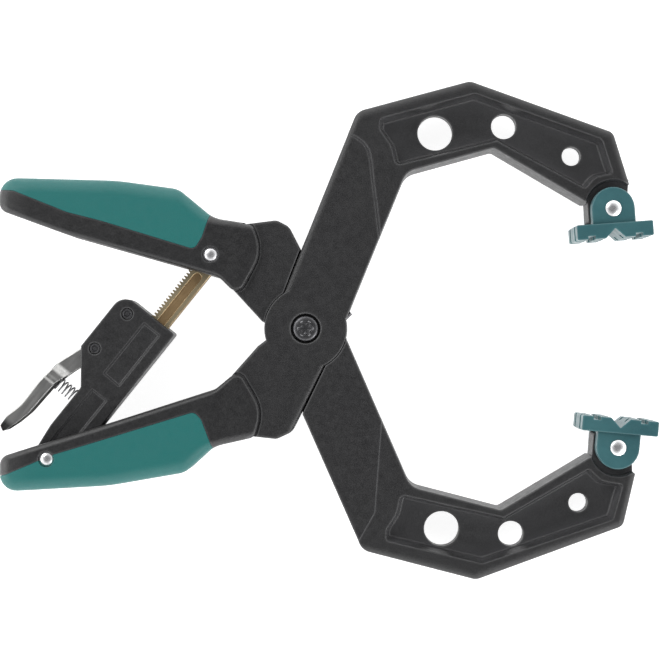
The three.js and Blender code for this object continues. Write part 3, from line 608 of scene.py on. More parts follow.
FRONT_TANG = [
    (-20, -19), (-38, -27.5), (-62, -42, 2), (-62, -49.5, 2), (-47, -46), (-37, -38.5),
    (-20, -38),
]
REAR_TANG = [
    (-20, 20.5), (-25.5, 20.5), (-27, 34.7, 2), (-42, 35.8), (-62, 45.5, 1), (-62, 50, 1),
    (-47, 45), (-38.5, 38.4), (-20, 36.9),
]
# Where the full jaw begins, past the blade.
FRONT_BEYOND = [
    (8, 77), (17.2, 73.6, 1), (22.6, 70.4, 3), (24.9, 63.8, 4), (28.6, 31), (140, 20),
    (140, 120), (8, 120),
]
REAR_BEYOND = [
    (8, -84), (20, -81), (26.2, -70, 3), (29, -33), (140, -20), (140, -120), (8, -120),
]
# Where the front blade ends on its jaw.
BLADE_LINE = [
    (15.8, 74.2), (19.2, 72.7), (22.2, 70.5), (24, 67.6), (24.8, 63.6), (25.6, 56.2),
    (26.8, 46.9), (28.2, 35.2), (28.7, 31.5),
]
RECESS_R = 10.5  # round the pad's ears, in both faces of the jaw
EAR_R = 8.2
UPPER_TILT = 4.1  # degrees that each pad and the end of its jaw lean by
LOWER_TILT = -5.2
TONGUE_CORNERS = [(-8.9, 7), (-8.9, -4.8, 1.2), (5.2, -4.8, 4.9), (7.5, 11), (-4, 12)]
FRONT_LEG = (17.1, 6.2)  # ends of the torsion spring
REAR_LEG = (8.6, -24.0)
COIL_R = 7.4
WIRE_R = 0.95
COIL_LOW = 7.0
COIL_HIGH = 12.25
BARREL_R = 4.0
FLANGE_R = 6.5
WASHER_R = 14.2


def placed(corners, at, degrees, side):
    """Corners drawn about a pin, mirrored for the lower side, leaned and moved to it."""
    rows = []
    for x, y, *rest in corners:
        (px, py), = turned_by([(x, y * side)], degrees)
        rows.append((at[0] + px, at[1] + py, *rest))
    return rows


def between(start, end, shares):
    return [np.array(start) * (1 - t) + np.array(end) * t for t in shares]


def tangent(end, way):
    """Where a straight wire that ends at a point leaves the coil."""
    angle = math.atan2(end[1], end[0]) + way * math.acos(COIL_R / math.hypot(*end))
    return angle, polar(COIL_R, angle)


def wire_slot(end, way, low, high):
    """Tool for the slot that a leg of the spring lies in."""
    _, start = tangent(end, way)
    along = np.array(end) - start
    along /= np.linalg.norm(along)
    across = np.array([-along[1], along[0]]) * (WIRE_R + 0.45)
    first = np.array(start) - along * 1.5
    last = np.array(end) + along * 2.5
    corners = np.array([first - across, last - across, last + across, first + across])
    return prism(corners, low, high)


def groove(points, width, depth, level):
    """Tool for a shallow rounded groove along a line on the front face."""
    path = [(x, y, level + width / 2 - depth) for x, y in points]
    return tube("groove", path, width / 2, 16)


def collar(handle_corners, gap):
    """The line just beyond the end of a sleeve, across its arm's web."""
    steps = 7
    points, _ = ring(handle_corners, -gap, steps=steps)
    return points[3 * (steps + 1) : 6 * (steps + 1)]


def arm(jaw, web, beyond, pocket, holes, tang, pin, tilt, side, others, front):
    """A jaw with its blade, half of the lap, the web and the tang. The other arm's outlines,
    others, are swept through the half of the lap that isn't this arm's, to clear its swing."""
    # The parts that join end at levels a little apart, so no two faces lie in one plane.
    blade = (1.0, THICK - 0.01) if front else (0.01, THICK - 0.35)
    webs = (1.0, THICK - 0.02) if front else (0.02, THICK - 1.0)
    body = slab(jaw, 0, THICK, 1, 1, draft=0.12)
    body = keep(body, prism(ring(beyond)[0], -PAST, THICK + PAST))
    join(
        body,
        slab(jaw, *blade, 1, 1, draft=0.12, inset=0.03),
        slab(web, *webs, 1, 1, draft=0.1),
        turned(PIVOT, lap_profile(blade if front else (0.0, THICK - 1)), 96),
        slab(tang, 4, 16),
    )
    levels = (-PAST, LAP + LAP_GAP) if front else (LAP - LAP_GAP, THICK + PAST)
    turns = np.linspace(*SWING, 9) if front else -np.linspace(*SWING, 9)
    sweeps = [prism(turned_by(ring(o)[0], t), *levels) for o in others for t in turns]
    cut(body, disc(PIVOT, LAP_R + LAP_GAP, *levels, 96), *sweeps)
    centre = (pin[0] + 0.4, pin[1] + side * 0.4)
    recess = [(0.4, -2), (0.4, 0), (0, 0.5), (0, TONGUE[0] - 0.4), (-0.4, TONGUE[0])]
    recess = [(RECESS_R + wider, level) for wider, level in recess]
    cut(
        body,
        turned(centre, recess, 64),
        turned(centre, [(r, THICK - level) for r, level in recess[::-1]], 64),
        disc(pin, EAR_R + 1.6, TONGUE[0] - 0.1, TONGUE[1] + 0.1),
        sunk(pocket, WEB[1], THICK),
        sunk(pocket, WEB[0], 0.0),
        *[hole((x, y), r, *WEB, 0.35, 64) for x, y, r in holes],
    )
    shape = placed(TONGUE_CORNERS, pin, tilt, side)
    shape = [(*row, *(0.6,) * (4 - len(row))) if len(row) > 2 else (*row, 0.0, 0.6) for row in shape]
    join(body, slab(shape, *TONGUE, 0.6, 0.6, 1.0))
    return cut(
        body,
        hole(pin, PIN_R + 0.2, *TONGUE, 0.2),
        disc(PIVOT, BARREL_R + 0.2, -PAST, THICK + PAST),
        disc(PIVOT, COIL_R + WIRE_R + 0.7, COIL_LOW - WIRE_R - 0.3, COIL_HIGH + WIRE_R + 0.6),
        disc(PIVOT, WASHER_R + 0.2, LAP - 0.6, LAP + 0.6),
    )


def lap_profile(levels, rim=0.45):
    """The lap's round boss, with both its edges rounded over."""
    low, high = levels
    foot = [(LAP_R - rim * (1 - math.sin(a)), low + rim * (1 - math.cos(a))) for a in quarter()]
    return foot + [(r, low + high - z) for r, z in foot[::-1]]


def front_arm():
    body = arm(
        FRONT_JAW, FRONT_WEB, FRONT_BEYOND, FRONT_POCKET, FRONT_HOLES, FRONT_TANG,
        UPPER_PIN, UPPER_TILT, 1, [REAR_JAW, REAR_WEB], True,
    )
    seat = turned(PIVOT, [(5.7, 16.8), (5.7, 19.6), (6.1, THICK), (6.1, THICK + 2)], 64)
    cut(
        body,
        seat,
        wire_slot(FRONT_LEG, -1, LAP, 13),
        groove(BLADE_LINE, 1.2, 0.45, THICK),
        groove(collar(LOWER_HANDLE, 0.2), 1.5, 0.8, THICK),
    )
    finished(body, "front_arm_moulding", "front_arm", ["front_arm"], arm_plastic, "arm_plastic")


def rear_arm():
    body = arm(
        REAR_JAW, REAR_WEB, REAR_BEYOND, REAR_POCKET, REAR_HOLES, REAR_TANG,
        LOWER_PIN, LOWER_TILT, -1, [FRONT_JAW, FRONT_WEB], False,
    )
    cut(
        body,
        disc(PIVOT, FLANGE_R + 0.3, -PAST, 3.2, 64),
        wire_slot(REAR_LEG, 1, 5.7, LAP),
        groove(collar(UPPER_HANDLE, 0.1), 1.0, 0.6, THICK - 1),
    )
    finished(body, "rear_arm_moulding", "rear_arm", ["rear_arm"], arm_plastic, "arm_plastic")


# ---------- handles ----------
# Corners are (x, y, radius, rim), as for the arms. A sleeve is hard plastic, moulded round
# its arm's tang, with a soft grip inlaid in the side that the palm or the fingers press.
LOWER_HANDLE = [
    (-116.8, -49, 5, 2.2), (-77.4, -36.9, 60, 2.2), (-34, -22.9, 6, 1.8),
    (-25.4, -15.7, 3.4, 1.0), (-16.6, -31, 14, 1.0), (-19.6, -41.5, 3.4, 3),
    (-35, -44.9, 14, 4.6), (-46, -55, 9, 6), (-75, -60, 80, 6), (-116.8, -62.4, 6.5, 4.5),
]
UPPER_HANDLE = [
    (-117, 45.2, 5, 2.2), (-90.5, 35.6, 50, 2.2), (-32.6, 19.3, 6, 1.8),
    (-25.5, 12.2, 3.4, 1.0), (-16.4, 29.4, 14, 1.0), (-20.4, 39.8, 3.4, 3),
    (-35, 41.9, 14, 4.6), (-48.6, 53.3, 9, 6), (-72, 56.5, 80, 6), (-116.8, 57.7, 7, 4.5),
]
LOWER_GRIP_SIDE = [
    (-125, -58.6), (-113, -55.2, 4), (-96, -48, 12), (-78, -42.6, 12), (-42, -31.6, 2.5),
    (-39.4, -34.5, 3), (-34.4, -47.5), (-34, -72), (-125, -72),
]
UPPER_GRIP_SIDE = [
    (-125, 53.6), (-110.5, 52.2, 4), (-90, 44, 12), (-77, 40.7, 12), (-42, 30, 2.5),
    (-39.2, 34.5, 3), (-34.8, 47), (-34, 68), (-125, 68),
]
LOWER_CHANNEL = [
    (-107, -42), (-107, -58.2, 5), (-80, -57, 3), (-68, -46, 3), (-66, -25), (-107, -25),
]
UPPER_CHANNEL = [
    (-96, 30), (-96, 43.5, 4), (-62, 43, 4), (-46, 35.4, 3), (-29, 34.2, 5), (-29, 10),
    (-96, 10),
]
CHANNEL = (3.7, 16.3)
HANDLE_TIP = (-119, -104)  # where the tip and the neck thin, along X
HANDLE_NECK = (-37, -18)
GRIP_WALL = 2.9
GRIP_GAP = 0.14
RIVET_R = 2.95
RIVET_SEAT = 1.9


def belly(points):
    """A handle is fullest along its palm, and thins towards its tip and its neck."""
    tip = np.clip((HANDLE_TIP[1] - points[:, 0]) / (HANDLE_TIP[1] - HANDLE_TIP[0]), 0, 1)
    neck = np.clip((points[:, 0] - HANDLE_NECK[0]) / (HANDLE_NECK[1] - HANDLE_NECK[0]), 0, 1)
    share = 1 - 0.22 * tip**2 - 0.16 * neck**2 * (3 - 2 * neck)
    return np.column_stack([points[:, :2], LAP + (points[:, 2] - LAP) * share])


def handle(place, body, outer, grip_side, channel, tang, web, at):
    """A sleeve on its arm's tang, the grip that fills the sleeve's hollow, and their rivet."""
    tip_bands = np.arange(*HANDLE_TIP, 0.75)
    bands = np.concatenate([tip_bands, np.arange(HANDLE_NECK[0], HANDLE_NECK[1] + 1, 0.75)])
    low, high = WIDE
    beyond = (low - PAST, high + PAST)
    rivet_seats = (low, low + RIVET_SEAT), (high - RIVET_SEAT, high)

    def whole():
        return reshaped(slab(outer, *WIDE, 1, 1, ratio=1.15, rounds=9), bands, belly)

    def core(gap):
        wall = GRIP_WALL - gap
        block = prism(ring(outer, wall)[0], low + wall, high - wall)
        return reshaped(block, bands, belly)

    def openings():
        return [
            prism(ring(channel)[0], *CHANNEL),
            disc(at, PIN_R + 0.2, *beyond),
            *[hole(at, RIVET_R + 0.1, *levels, 0.2, 64) for levels in rivet_seats],
        ]

    sleeve = cut(whole(), prism(ring(grip_side, -GRIP_GAP)[0], *beyond))
    join(sleeve, core(0))
    cut(
        sleeve,
        *openings(),
        prism(ring(tang, -CLEAR)[0], *CHANNEL),
        prism(ring(web, -CLEAR)[0], -CLEAR, THICK + CLEAR),
    )
    grip = keep(whole(), prism(ring(grip_side)[0], *beyond))
    cut(grip, core(GRIP_GAP), *openings())
    node = f"{place}_handle"
    finished(sleeve, f"{place}_sleeve_shell", body, [f"{node}_sleeve"], sleeve_plastic, "sleeve_plastic")
    finished(grip, f"{place}_grip_inlay", body, [f"{node}_grip"], grip_rubber, "soft_grip")
    rivet(f"{place}_bar_rivet", body, f"{node}_rivet", at, 1.0)


def rivet(name, body, node, at, height):
    """A straight shaft between two low domed heads of one height."""
    low, high = WIDE[0] + 0.2, WIDE[1] - 0.2
    ball = (RIVET_R**2 + height**2) / (2 * height)
    dome = [(RIVET_R, height + 0.5)]
    for share in np.linspace(1, 0, 9):
        r = RIVET_R * share
        dome.append((r, ball - math.sqrt(ball**2 - r**2)))
    shaft = [(PIN_R, low + dome[0][1]), (PIN_R, high - dome[0][1])]
    under = [(r, low + depth) for r, depth in dome[::-1]]
    over = [(r, high - depth) for r, depth in dome]
    piece = turned(at, under + shaft + over, 64)
    finished(piece, name, body, [node], chrome, "bright_steel", 50)


# ---------- pads ----------
PAD_HALF = 14.6
PAD_BACK = 5.4  # how far the plate's two faces are from the pin
PAD_FACE = 11.3
EARS = ((-2.2, TONGUE[0] - 0.4), (TONGUE[1] + 0.4, THICK + 2.2))
NOTCH_DEPTH = 3.8
SLOT_DEPTH = 1.4
SLOTS_ACROSS = (-9, 9)  # run through the pad's thickness
SLOTS_ALONG = (3.2, THICK - 3.2)  # levels of those that run along the plate


def pad(place, pin, tilt, side):
    """Drawn about its own pin with the clamping face down, then turned into place."""
    plate = slab(
        [
            (-PAD_HALF, -PAD_FACE, 0.7, 0.55),
            (PAD_HALF, -PAD_FACE, 0.7, 0.55),
            (PAD_HALF, -PAD_BACK, 0.7, 0.55),
            (-PAD_HALF, -PAD_BACK, 0.7, 0.55),
        ],
        *WIDE, 1, 1, ratio=0.9, draft=0.1,
    )
    ear = [
        (-EAR_R, -PAD_BACK - 1, 0, 0.6),
        (EAR_R, -PAD_BACK - 1, 0, 0.6),
        (EAR_R, EAR_R, EAR_R - 0.01, 0.6),
        (-EAR_R, EAR_R, EAR_R - 0.01, 0.6),
    ]
    notch = [(-4.9, -PAD_FACE - 1.05), (4.9, -PAD_FACE - 1.05), (0, -PAD_FACE + NOTCH_DEPTH, 0.35)]
    join(plate, slab(ear, *EARS[0], 1, 0, ratio=1), slab(ear, *EARS[1], 0, 1, ratio=1))
    low, high = WIDE[0] - PAST, WIDE[1] + PAST
    end, under, floor = PAD_HALF + PAST, -PAD_FACE - PAST, -PAD_FACE + SLOT_DEPTH
    bore = hole((0, 0), PIN_R + 0.2, EARS[0][0], EARS[1][1])
    tools = [prism(ring(notch)[0], low, high), bore]
    for x in SLOTS_ACROSS:
        tools.append(box((x - 1.4, under, low), (x + 1.4, floor, high)))
    for z in SLOTS_ALONG:
        tools.append(box((-end, under, z - 1.3), (end, floor, z + 1.3)))
        for way in (-1, 1):
            x = sorted((way * (PAD_HALF - 0.45), way * end))
            tools.append(box((x[0], under, z - 1.3), (x[1], -PAD_BACK + PAST, z + 1.3)))
    cut(plate, *tools)
    flip = Matrix.Rotation(math.pi, 4, "X") if side < 0 else Matrix.Identity(4)
    level = 0 if side > 0 else THICK * MM
    lean = Matrix.Rotation(side * math.radians(tilt), 4, "Z")
    plate.data.transform(Matrix.Translation((pin[0] * MM, pin[1] * MM, level)) @ flip @ lean)
    node = f"{place}_pad"
    finished(plate, f"{place}_jaw_pad", node, [node], pad_rubber, "pad_plastic")
    rivet(f"{place}_jaw_rivet", node, f"{node}_rivet", pin, 0.8)


# ---------- pivot ----------
SCREW_R = 2.3
SCREW_HEAD_R = 5.15
SCREW_HEAD = (17.0, 19.98)  # levels
SCREW_CROWN = (1.75, 1.55)  # how far the head's crown comes in and up
SOCKET_MEAN = 2.45
SOCKET_LOBE = 0.38
NUT = [(5.9, 0), (6.3, 0.12), (FLANGE_R, 0.5), (FLANGE_R, 2.6), (6.3, 2.9)]
NUT += [(BARREL_R, 2.9), (BARREL_R, 16.3), (BARREL_R - 0.3, 16.6)]
WASHER = [(WASHER_R - 0.2, -0.4), (WASHER_R, -0.25), (WASHER_R, 0.25), (WASHER_R - 0.2, 0.4)]


def socket(low, high):
    """Tool for a six-lobed recess that narrows a little towards its floor."""
    turn = np.arange(96) * 2 * math.pi / 96
    radius = SOCKET_MEAN + SOCKET_LOBE * np.cos(6 * turn)
    lobed = radius[:, None] * np.column_stack([np.cos(turn), np.sin(turn)])
    sizes = [(0.05, low - 0.3), (0.8, low), (0.93, low + 0.15)]
    sizes += [(1.0, high - 0.25), (1.12, high), (1.12, high + PAST)]
    return loft("socket", [lifted(lobed * size, level) for size, level in sizes])


def pivot_screw():
    crown_in, crown_up = SCREW_CROWN
    side = SCREW_HEAD[0] + 1.3
    profile = [(SCREW_R - 0.3, 5), (SCREW_R, 5.3), (SCREW_R, SCREW_HEAD[0])]
    profile += [(SCREW_HEAD_R - 0.2, SCREW_HEAD[0]), (SCREW_HEAD_R, SCREW_HEAD[0] + 0.2)]
    for a in np.radians(np.linspace(0, 80, 7)):
        inner = SCREW_HEAD_R - crown_in * (1 - math.cos(a))
        profile.append((inner, side + crown_up * math.sin(a)))
    profile.append((SOCKET_MEAN + 0.45, SCREW_HEAD[1]))
    screw = turned(PIVOT, profile, 96)
    cut(screw, socket(SCREW_HEAD[0] + 0.9, SCREW_HEAD[1] - 0.03))
    finished(screw, "pivot_pan_screw", "front_arm", ["pivot_screw"], black_oxide, "black_steel", 40)


def pivot_nut_and_ring():
    nut = turned(PIVOT, NUT, 96)
    cut(nut, disc(PIVOT, 2.6, 4, THICK))
    finished(nut, "pivot_barrel", "front_arm", ["pivot_barrel_nut"], zinc, "satin_steel", 40)

    washer = turned(PIVOT, [(r, LAP + rise) for r, rise in WASHER], 96)
    cut(washer, disc(PIVOT, COIL_R + WIRE_R + 0.8, 0, THICK, 72))
    finished(washer, "pivot_thrust_ring", "front_arm", ["pivot_washer"], zinc, "satin_steel", 40)


def torsion_spring():
    """A coil round the barrel nut with a straight leg into each arm."""
    rear_angle, rear_start = tangent(REAR_LEG, 1)
    front_angle, front_start = tangent(FRONT_LEG, -1)
    sweep = (front_angle - rear_angle) % (2 * math.pi) + 2 * math.pi
    rear = between(REAR_LEG, rear_start, np.arange(0, 1, 0.1))
    front = between(front_start, FRONT_LEG, np.arange(0.1, 1.01, 0.1))
    coil = []
    for t in np.linspace(0, 1, 121):
        angle = rear_angle + sweep * t
        level = COIL_LOW + (COIL_HIGH - COIL_LOW) * t
        coil.append((*polar(COIL_R, angle), level))
    path = [(x, y, COIL_LOW) for x, y in rear] + coil + [(x, y, COIL_HIGH) for x, y in front]
    spring = tube("spring", path, WIRE_R, 20)
    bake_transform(finished(spring, "pivot_torsion_coil", None, ["torsion_spring"], black_oxide, "black_steel", 40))


# ---------- ratchet, drawn along the bar: x from the lower rivet, y across ----------
HOUSING = (4.5, 15.5)  # levels
HOUSING_WALL = 1.9
STEM = (-7.7, 7.7)  # sides of the housing's lower half
HOUSING_TOP = 66.6
HEAD_SIDE = 17.6
BAR = (8.0, 12.0)  # levels
BAR_EDGE = (-4.0, 3.9)  # the plain edge and the toothed one
BAR_END = 33.0
EYE_R = 5.5
STOP_PIN = (BAR_END + 2, -0.3)
FULLER = 0.3  # depth of the long hollow in the bar's front
TOOTH_PITCH = 1.4
TOOTH_DEPTH = 1.1
PAWL_PIN = (61.4, 11.4)
LEVER_PIN = (43.3, 12.8)
CROSS_PIN_R = 1.5
CROSS_HEAD_R = 2.05
LEVER_HALF = 5.4
NECK_HALF = 3.1
SHEET = 1.1
JOGGLE = (26.2, 30.6)  # where the lever narrows
BEAD = (22.0, 25.6)
BEAD_HEIGHT = 0.4
HOUSING_SHAPE = [
    (-7.6, STEM[0], 7.5, 0.6),
    (HOUSING_TOP, STEM[0], 0.9, 0.6),
    (HOUSING_TOP, HEAD_SIDE, 5.6, 0.7),
    (40.8, HEAD_SIDE, 1.2, 0.5),
    (28.3, STEM[1], 1.5, 0.6),
    (9.8, STEM[1], 5, 0.6),
    (-7.6, 5.6, 6.2, 0.6),
]
MECHANISM_ROOM = [
    (30.6, 2),
    (HOUSING_TOP - 1.6, 2),
    (HOUSING_TOP - 1.6, HEAD_SIDE - 1.6, 4),
    (46.5, HEAD_SIDE - 1.6),
    (46, HEAD_SIDE + 2),
    (32, HEAD_SIDE + 2),
    (25.5, 8),
    (28.4, 5),
]
BAR_ROOM = [
    (7, BAR_EDGE[0] - 0.5, 1),
    (HOUSING_TOP + 2, BAR_EDGE[0] - 0.5),
    (HOUSING_TOP + 2, BAR_EDGE[1] + 0.5),
    (7, BAR_EDGE[1] + 0.5, 1),
]
PANELS = [
    [(37.6, -3.8, 0.5), (63, -3.7, 0.5), (63, 4.4, 0.5), (37.8, 4.4, 0.5)],
    [(2, -3.4, 0.5), (30.8, -3.5, 0.5), (30.8, 4, 0.5), (2, 4.2, 0.5)],
]
LEVER_COIL_AT = 23.6
LEVER_COIL_R = 2.45
LEVER_COIL_ENDS = (8.1, 20.1)  # on the housing's ledge and under the lever
LEVER_WIRE_R = 0.32
LEVER_TURNS = 7
TO_CLAMP = Matrix.Translation((LOWER_RIVET[0] * MM, LOWER_RIVET[1] * MM, 0))
TO_CLAMP = TO_CLAMP @ Matrix.Rotation(BAR_TURN, 4, "Z")


def along_bar(obj, *rest, **named):
    """Finishes a piece that is drawn along the bar, once it is turned into the clamp's axes."""
    obj.data.transform(TO_CLAMP)
    return finished(obj, *rest, **named)


def ratchet_bar():
    top = BAR_LENGTH
    plain, toothed = BAR_EDGE
    eye = [polar(EYE_R, a) for a in np.linspace(-2.3, 2.45, 40)]
    corners = [(BAR_END, plain, 0.6, 0.45), (top - 7, plain, 3, 0.45)]
    corners += [(top + x, y, 0, 0.4) for x, y in eye]
    corners.append((top - 6.5, toothed, 0.4, 0.2))
    first = top - 7.5
    count = math.floor((top - 10 - BAR_END) / TOOTH_PITCH)
    for i in range(count):
        x = first - i * TOOTH_PITCH
        root = toothed - TOOTH_DEPTH
        corners += [(x, toothed, 0.06, 0.1), (x - 0.25 * TOOTH_PITCH, root, 0.08, 0.1)]
        corners += [(x - 0.5 * TOOTH_PITCH, root, 0.08, 0.1), (x - 0.75 * TOOTH_PITCH, toothed, 0.06, 0.1)]
    corners += [(first - count * TOOTH_PITCH, toothed, 0.1, 0.2), (BAR_END, toothed, 0.6, 0.3)]
    body = slab(corners, *BAR, 1, 1, ratio=0.8, rounds=3)
    start, end = BAR_END + 4, first - 1
    fuller = [(start, -2.2, 1.2), (end, -2.2, 1.75), (end, 1.4, 1.75), (start, 1.4, 1.2)]
    cut(
        body,
        sunk(fuller, BAR[1] - FULLER, BAR[1], 0.12, 0.12, 0.08),
        hole((top, 0), PIN_R + 1.3, *BAR, 0.2),
        hole(STOP_PIN, 1.2, *BAR, 0.15, 32),
    )
    along_bar(body, "toothed_bar", "bar", ["ratchet_bar"], bronzed, "bronzed_steel")
    stop = turned(STOP_PIN, [(0.8, 7.9), (0.95, 8.05), (0.95, 11.95), (0.8, 12.1)], 32)
    along_bar(stop, "bar_end_pin", "bar", ["bar_stop_pin"], zinc, "satin_steel", sharp=40)
    spacers = ("rear", CHANNEL[0], BAR[0]), ("front", BAR[1], CHANNEL[1])
    for name, below, above in spacers:
        low, high = below + CLEAR, above - CLEAR
        washer = turned(UPPER_RIVET, [(4.3, low), (4.6, low + 0.3), (4.6, high - 0.3), (4.3, high)], 64)
        cut(washer, hole(UPPER_RIVET, PIN_R + 0.2, low, high, 0.2))
        finished(washer, f"{name}_bar_spacer", "rear_arm", [f"bar_washer_{name}"], zinc, "satin_steel", 40)


def housing_shell(name, node, front):
    """Half of the housing, hollow for the bar and the pawl, with a ledge for the spring."""
    way = 1 if front else -1
    middle = LAP + way * 0.06
    face = HOUSING[1] if front else HOUSING[0]
    if front:
        body = slab(HOUSING_SHAPE, middle, face, 0.15, 1, ratio=0.9)
    else:
        body = slab(HOUSING_SHAPE, face, middle, 1, 0.15, ratio=0.9)
    room = sorted((middle - way, face - way * HOUSING_WALL))
    bar_room = sorted((middle - way, LAP + way * (BAR[1] - LAP + CLEAR)))
    ledge = [(20.4, 6.5), (26.9, 6.5), (26.9, STEM[1], 0.3), (20.4, STEM[1], 0.3)]
    join(body, prism(ring(ledge)[0], *sorted((middle, LAP + way * 3.2))))
    bore = CROSS_HEAD_R + 0.22
    cut(
        body,
        prism(ring(MECHANISM_ROOM)[0], *room),
        prism(ring(BAR_ROOM)[0], *bar_room),
        *[sunk(panel, face - way * 0.6, face, 0.75, 0.25, 0.15) for panel in PANELS],
        hole((0, 0), PIN_R + 0.2, *HOUSING, 0.3),
        hole(PAWL_PIN, bore, *HOUSING, 0.3, 64),
        hole(LEVER_PIN, bore, *HOUSING, 0.3, 64),
    )
    along_bar(body, name, "housing", [node], housing_plastic, "housing_plastic")


def cross_pin(name, node, at):
    """A headed pin through both shells. Each head has a round socket with a raised middle."""
    low, high = HOUSING[0] + 0.2, HOUSING[1] - 0.2
    head = [(CROSS_PIN_R, 1.5), (CROSS_HEAD_R, 1.5), (CROSS_HEAD_R, 0.25), (CROSS_HEAD_R - 0.25, 0)]
    head += [(1.4, 0), (1.25, 0.15), (1.15, 0.5), (0.75, 0.5), (0.6, 0.3), (0, 0.26)]
    profile = [(r, low + depth) for r, depth in head[::-1]]
    profile += [(r, high - depth) for r, depth in head]
    along_bar(turned(at, profile, 48), name, "housing", [node], black_oxide, "black_steel", sharp=40)


def pawl():
    """The catch: a round head on its pin, a tail for the lever, and teeth just off the bar's."""
    px, py = PAWL_PIN
    low, high = BAR[0] + 0.2, BAR[1] - 0.2
    tips = BAR_EDGE[1] + CLEAR
    corners = [(px + 3.6 * math.cos(a), py + 3.6 * math.sin(a)) for a in np.linspace(-0.5, 2.4, 20)]
    corners += [(px - 9, py + 1.6), (px - 11, py + 0.9), (px - 10.6, py - 1.1)]
    corners += [(px - 8.6, py - 3.4), (px - 8.6, tips)]
    for i in range(3):
        x = px - 8.6 + i * TOOTH_PITCH
        corners += [(x + 0.65 * TOOTH_PITCH, tips + TOOTH_DEPTH), (x + TOOTH_PITCH, tips)]
    corners.append((px - 2.6, tips + 1.6))
    body = slab([(x, y, 0, 0.15) for x, y in corners], low, high, 1, 1, ratio=1, rounds=2)
    cut(body, hole(PAWL_PIN, CROSS_PIN_R + 0.15, low, high, 0.15))
    along_bar(body, "ratchet_pawl", "pawl", ["pawl"], zinc, "satin_steel")


LEVER_SHAPE = [
    (-3.6, 20.4, 0.5, 0.4), (-2.4, 22.7, 0.6, 0.4), (2.4, 23.1, 4, 0.7), (9, 21.5, 12, 0.7),
    (20, 21.7, 12, 0.7), (30.4, 20.7, 6, 0.7), (39.5, 17.5, 8, 0.7), (46.8, 15.4, 3.0, 0.3),
    (46.8, 9.6, 3.0, 0.25), (40, 9.8, 3, 0.25), (33.4, 13.2, 6, 0.25), (23, 16.5, 10, 0.25),
    (8, 17.2, 12, 0.25), (2, 18.5, 4, 0.25),
]
LEVER_ROOM = [
    (-2.4, 4), (-2.5, 20.6), (-1.6, 21.7), (2.4, 22, 3), (9, 20.4, 11), (20, 20.6, 11),
    (30.2, 19.6, 5), (39.2, 16.3, 7), (50, 13.6), (50, 4),
]
LEVER_ARM = [(40.5, 10), (47, 7.2, 1), (51.6, 9.2, 0.8), (51.4, 10.9, 0.8), (47, 12.5)]


def joggle(half, neck):
    """Draws a lever's sides in from the finger blade to the neck that enters the housing, past
    a low bead pressed across the blade."""
    def shape(points):
        t = np.clip((points[:, 0] - JOGGLE[0]) / (JOGGLE[1] - JOGGLE[0]), 0, 1)
        rise = np.clip((points[:, 0] - BEAD[0]) / (BEAD[1] - BEAD[0]), 0, 1)
        bead = BEAD_HEIGHT / half * np.sin(math.pi * rise) ** 2
        share = 1 + bead + (neck / half - 1) * t * t * (3 - 2 * t)
        return np.column_stack([points[:, :2], LAP + (points[:, 2] - LAP) * share])

    return shape


def release_lever():
    """A bent steel sheet of U section, with an arm on each side and a bar between the arms
    that lifts the pawl."""
    inner = LEVER_HALF - SHEET
    bands = np.arange(BEAD[0], JOGGLE[1] + 0.1, 0.2)
    body = slab(LEVER_SHAPE, LAP - LEVER_HALF, LAP + LEVER_HALF, 1, 1, ratio=0.9, rounds=6)
    body = reshaped(body, bands, joggle(LEVER_HALF, NECK_HALF))
    room = prism(ring(LEVER_ROOM)[0], LAP - inner, LAP + inner)
    cut(body, reshaped(room, bands, joggle(inner, NECK_HALF - SHEET)))
    side = (LAP - NECK_HALF, LAP - NECK_HALF + SHEET), (LAP + NECK_HALF - SHEET, LAP + NECK_HALF)
    join(body, *[prism(ring(LEVER_ARM)[0], *levels) for levels in side])
    join(body, box((47.2, 8.6, LAP - NECK_HALF + 0.2), (48.8, 9.9, LAP + NECK_HALF - 0.2)))
    cut(body, disc(LEVER_PIN, CROSS_PIN_R + 0.15, 0, THICK))
    along_bar(body, "trigger_lever", "lever", ["release_lever"], lever_steel, "lever_steel", sharp=40)


def lever_spring():
    low, high = LEVER_COIL_ENDS
    rise = high - low - 2 * LEVER_WIRE_R
    path = []
    for t in np.linspace(0, 1, LEVER_TURNS * 28 + 1):
        a = t * LEVER_TURNS * 2 * math.pi
        x = LEVER_COIL_AT + LEVER_COIL_R * math.cos(a)
        path.append((x, low + LEVER_WIRE_R + rise * t, LAP + LEVER_COIL_R * math.sin(a)))
    spring = tube("spring", path, LEVER_WIRE_R, 10)
    spring.data.transform(TO_CLAMP)
    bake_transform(finished(spring, "trigger_coil_spring", None, ["lever_spring"], spring_wire, "bright_steel", 40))


def ratchet():
    ratchet_bar()
    housing_shell("housing_face_shell", "housing_front_shell", True)
    housing_shell("housing_back_shell", "housing_rear_shell", False)
    cross_pin("pawl_cross_pin", "pawl_pin", PAWL_PIN)
    cross_pin("lever_cross_pin", "lever_pin", LEVER_PIN)
    pawl()
    release_lever()
    lever_spring()


# ---------- stage, camera, light ----------
def lit(name, at, size, power):
    """A rectangular lamp turned towards the clamp."""
    light = bpy.data.lights.new(name, "AREA")
    light.shape = "RECTANGLE"
    light.size, light.size_y = size
    light.energy = power
    obj = bpy.data.objects.new(name, light)
    obj.location = at
    obj.rotation_mode = "QUATERNION"
    obj.rotation_quaternion = (Vector(LIT_POINT) - Vector(at)).to_track_quat("-Z", "Y")
    bpy.context.scene.collection.objects.link(obj)


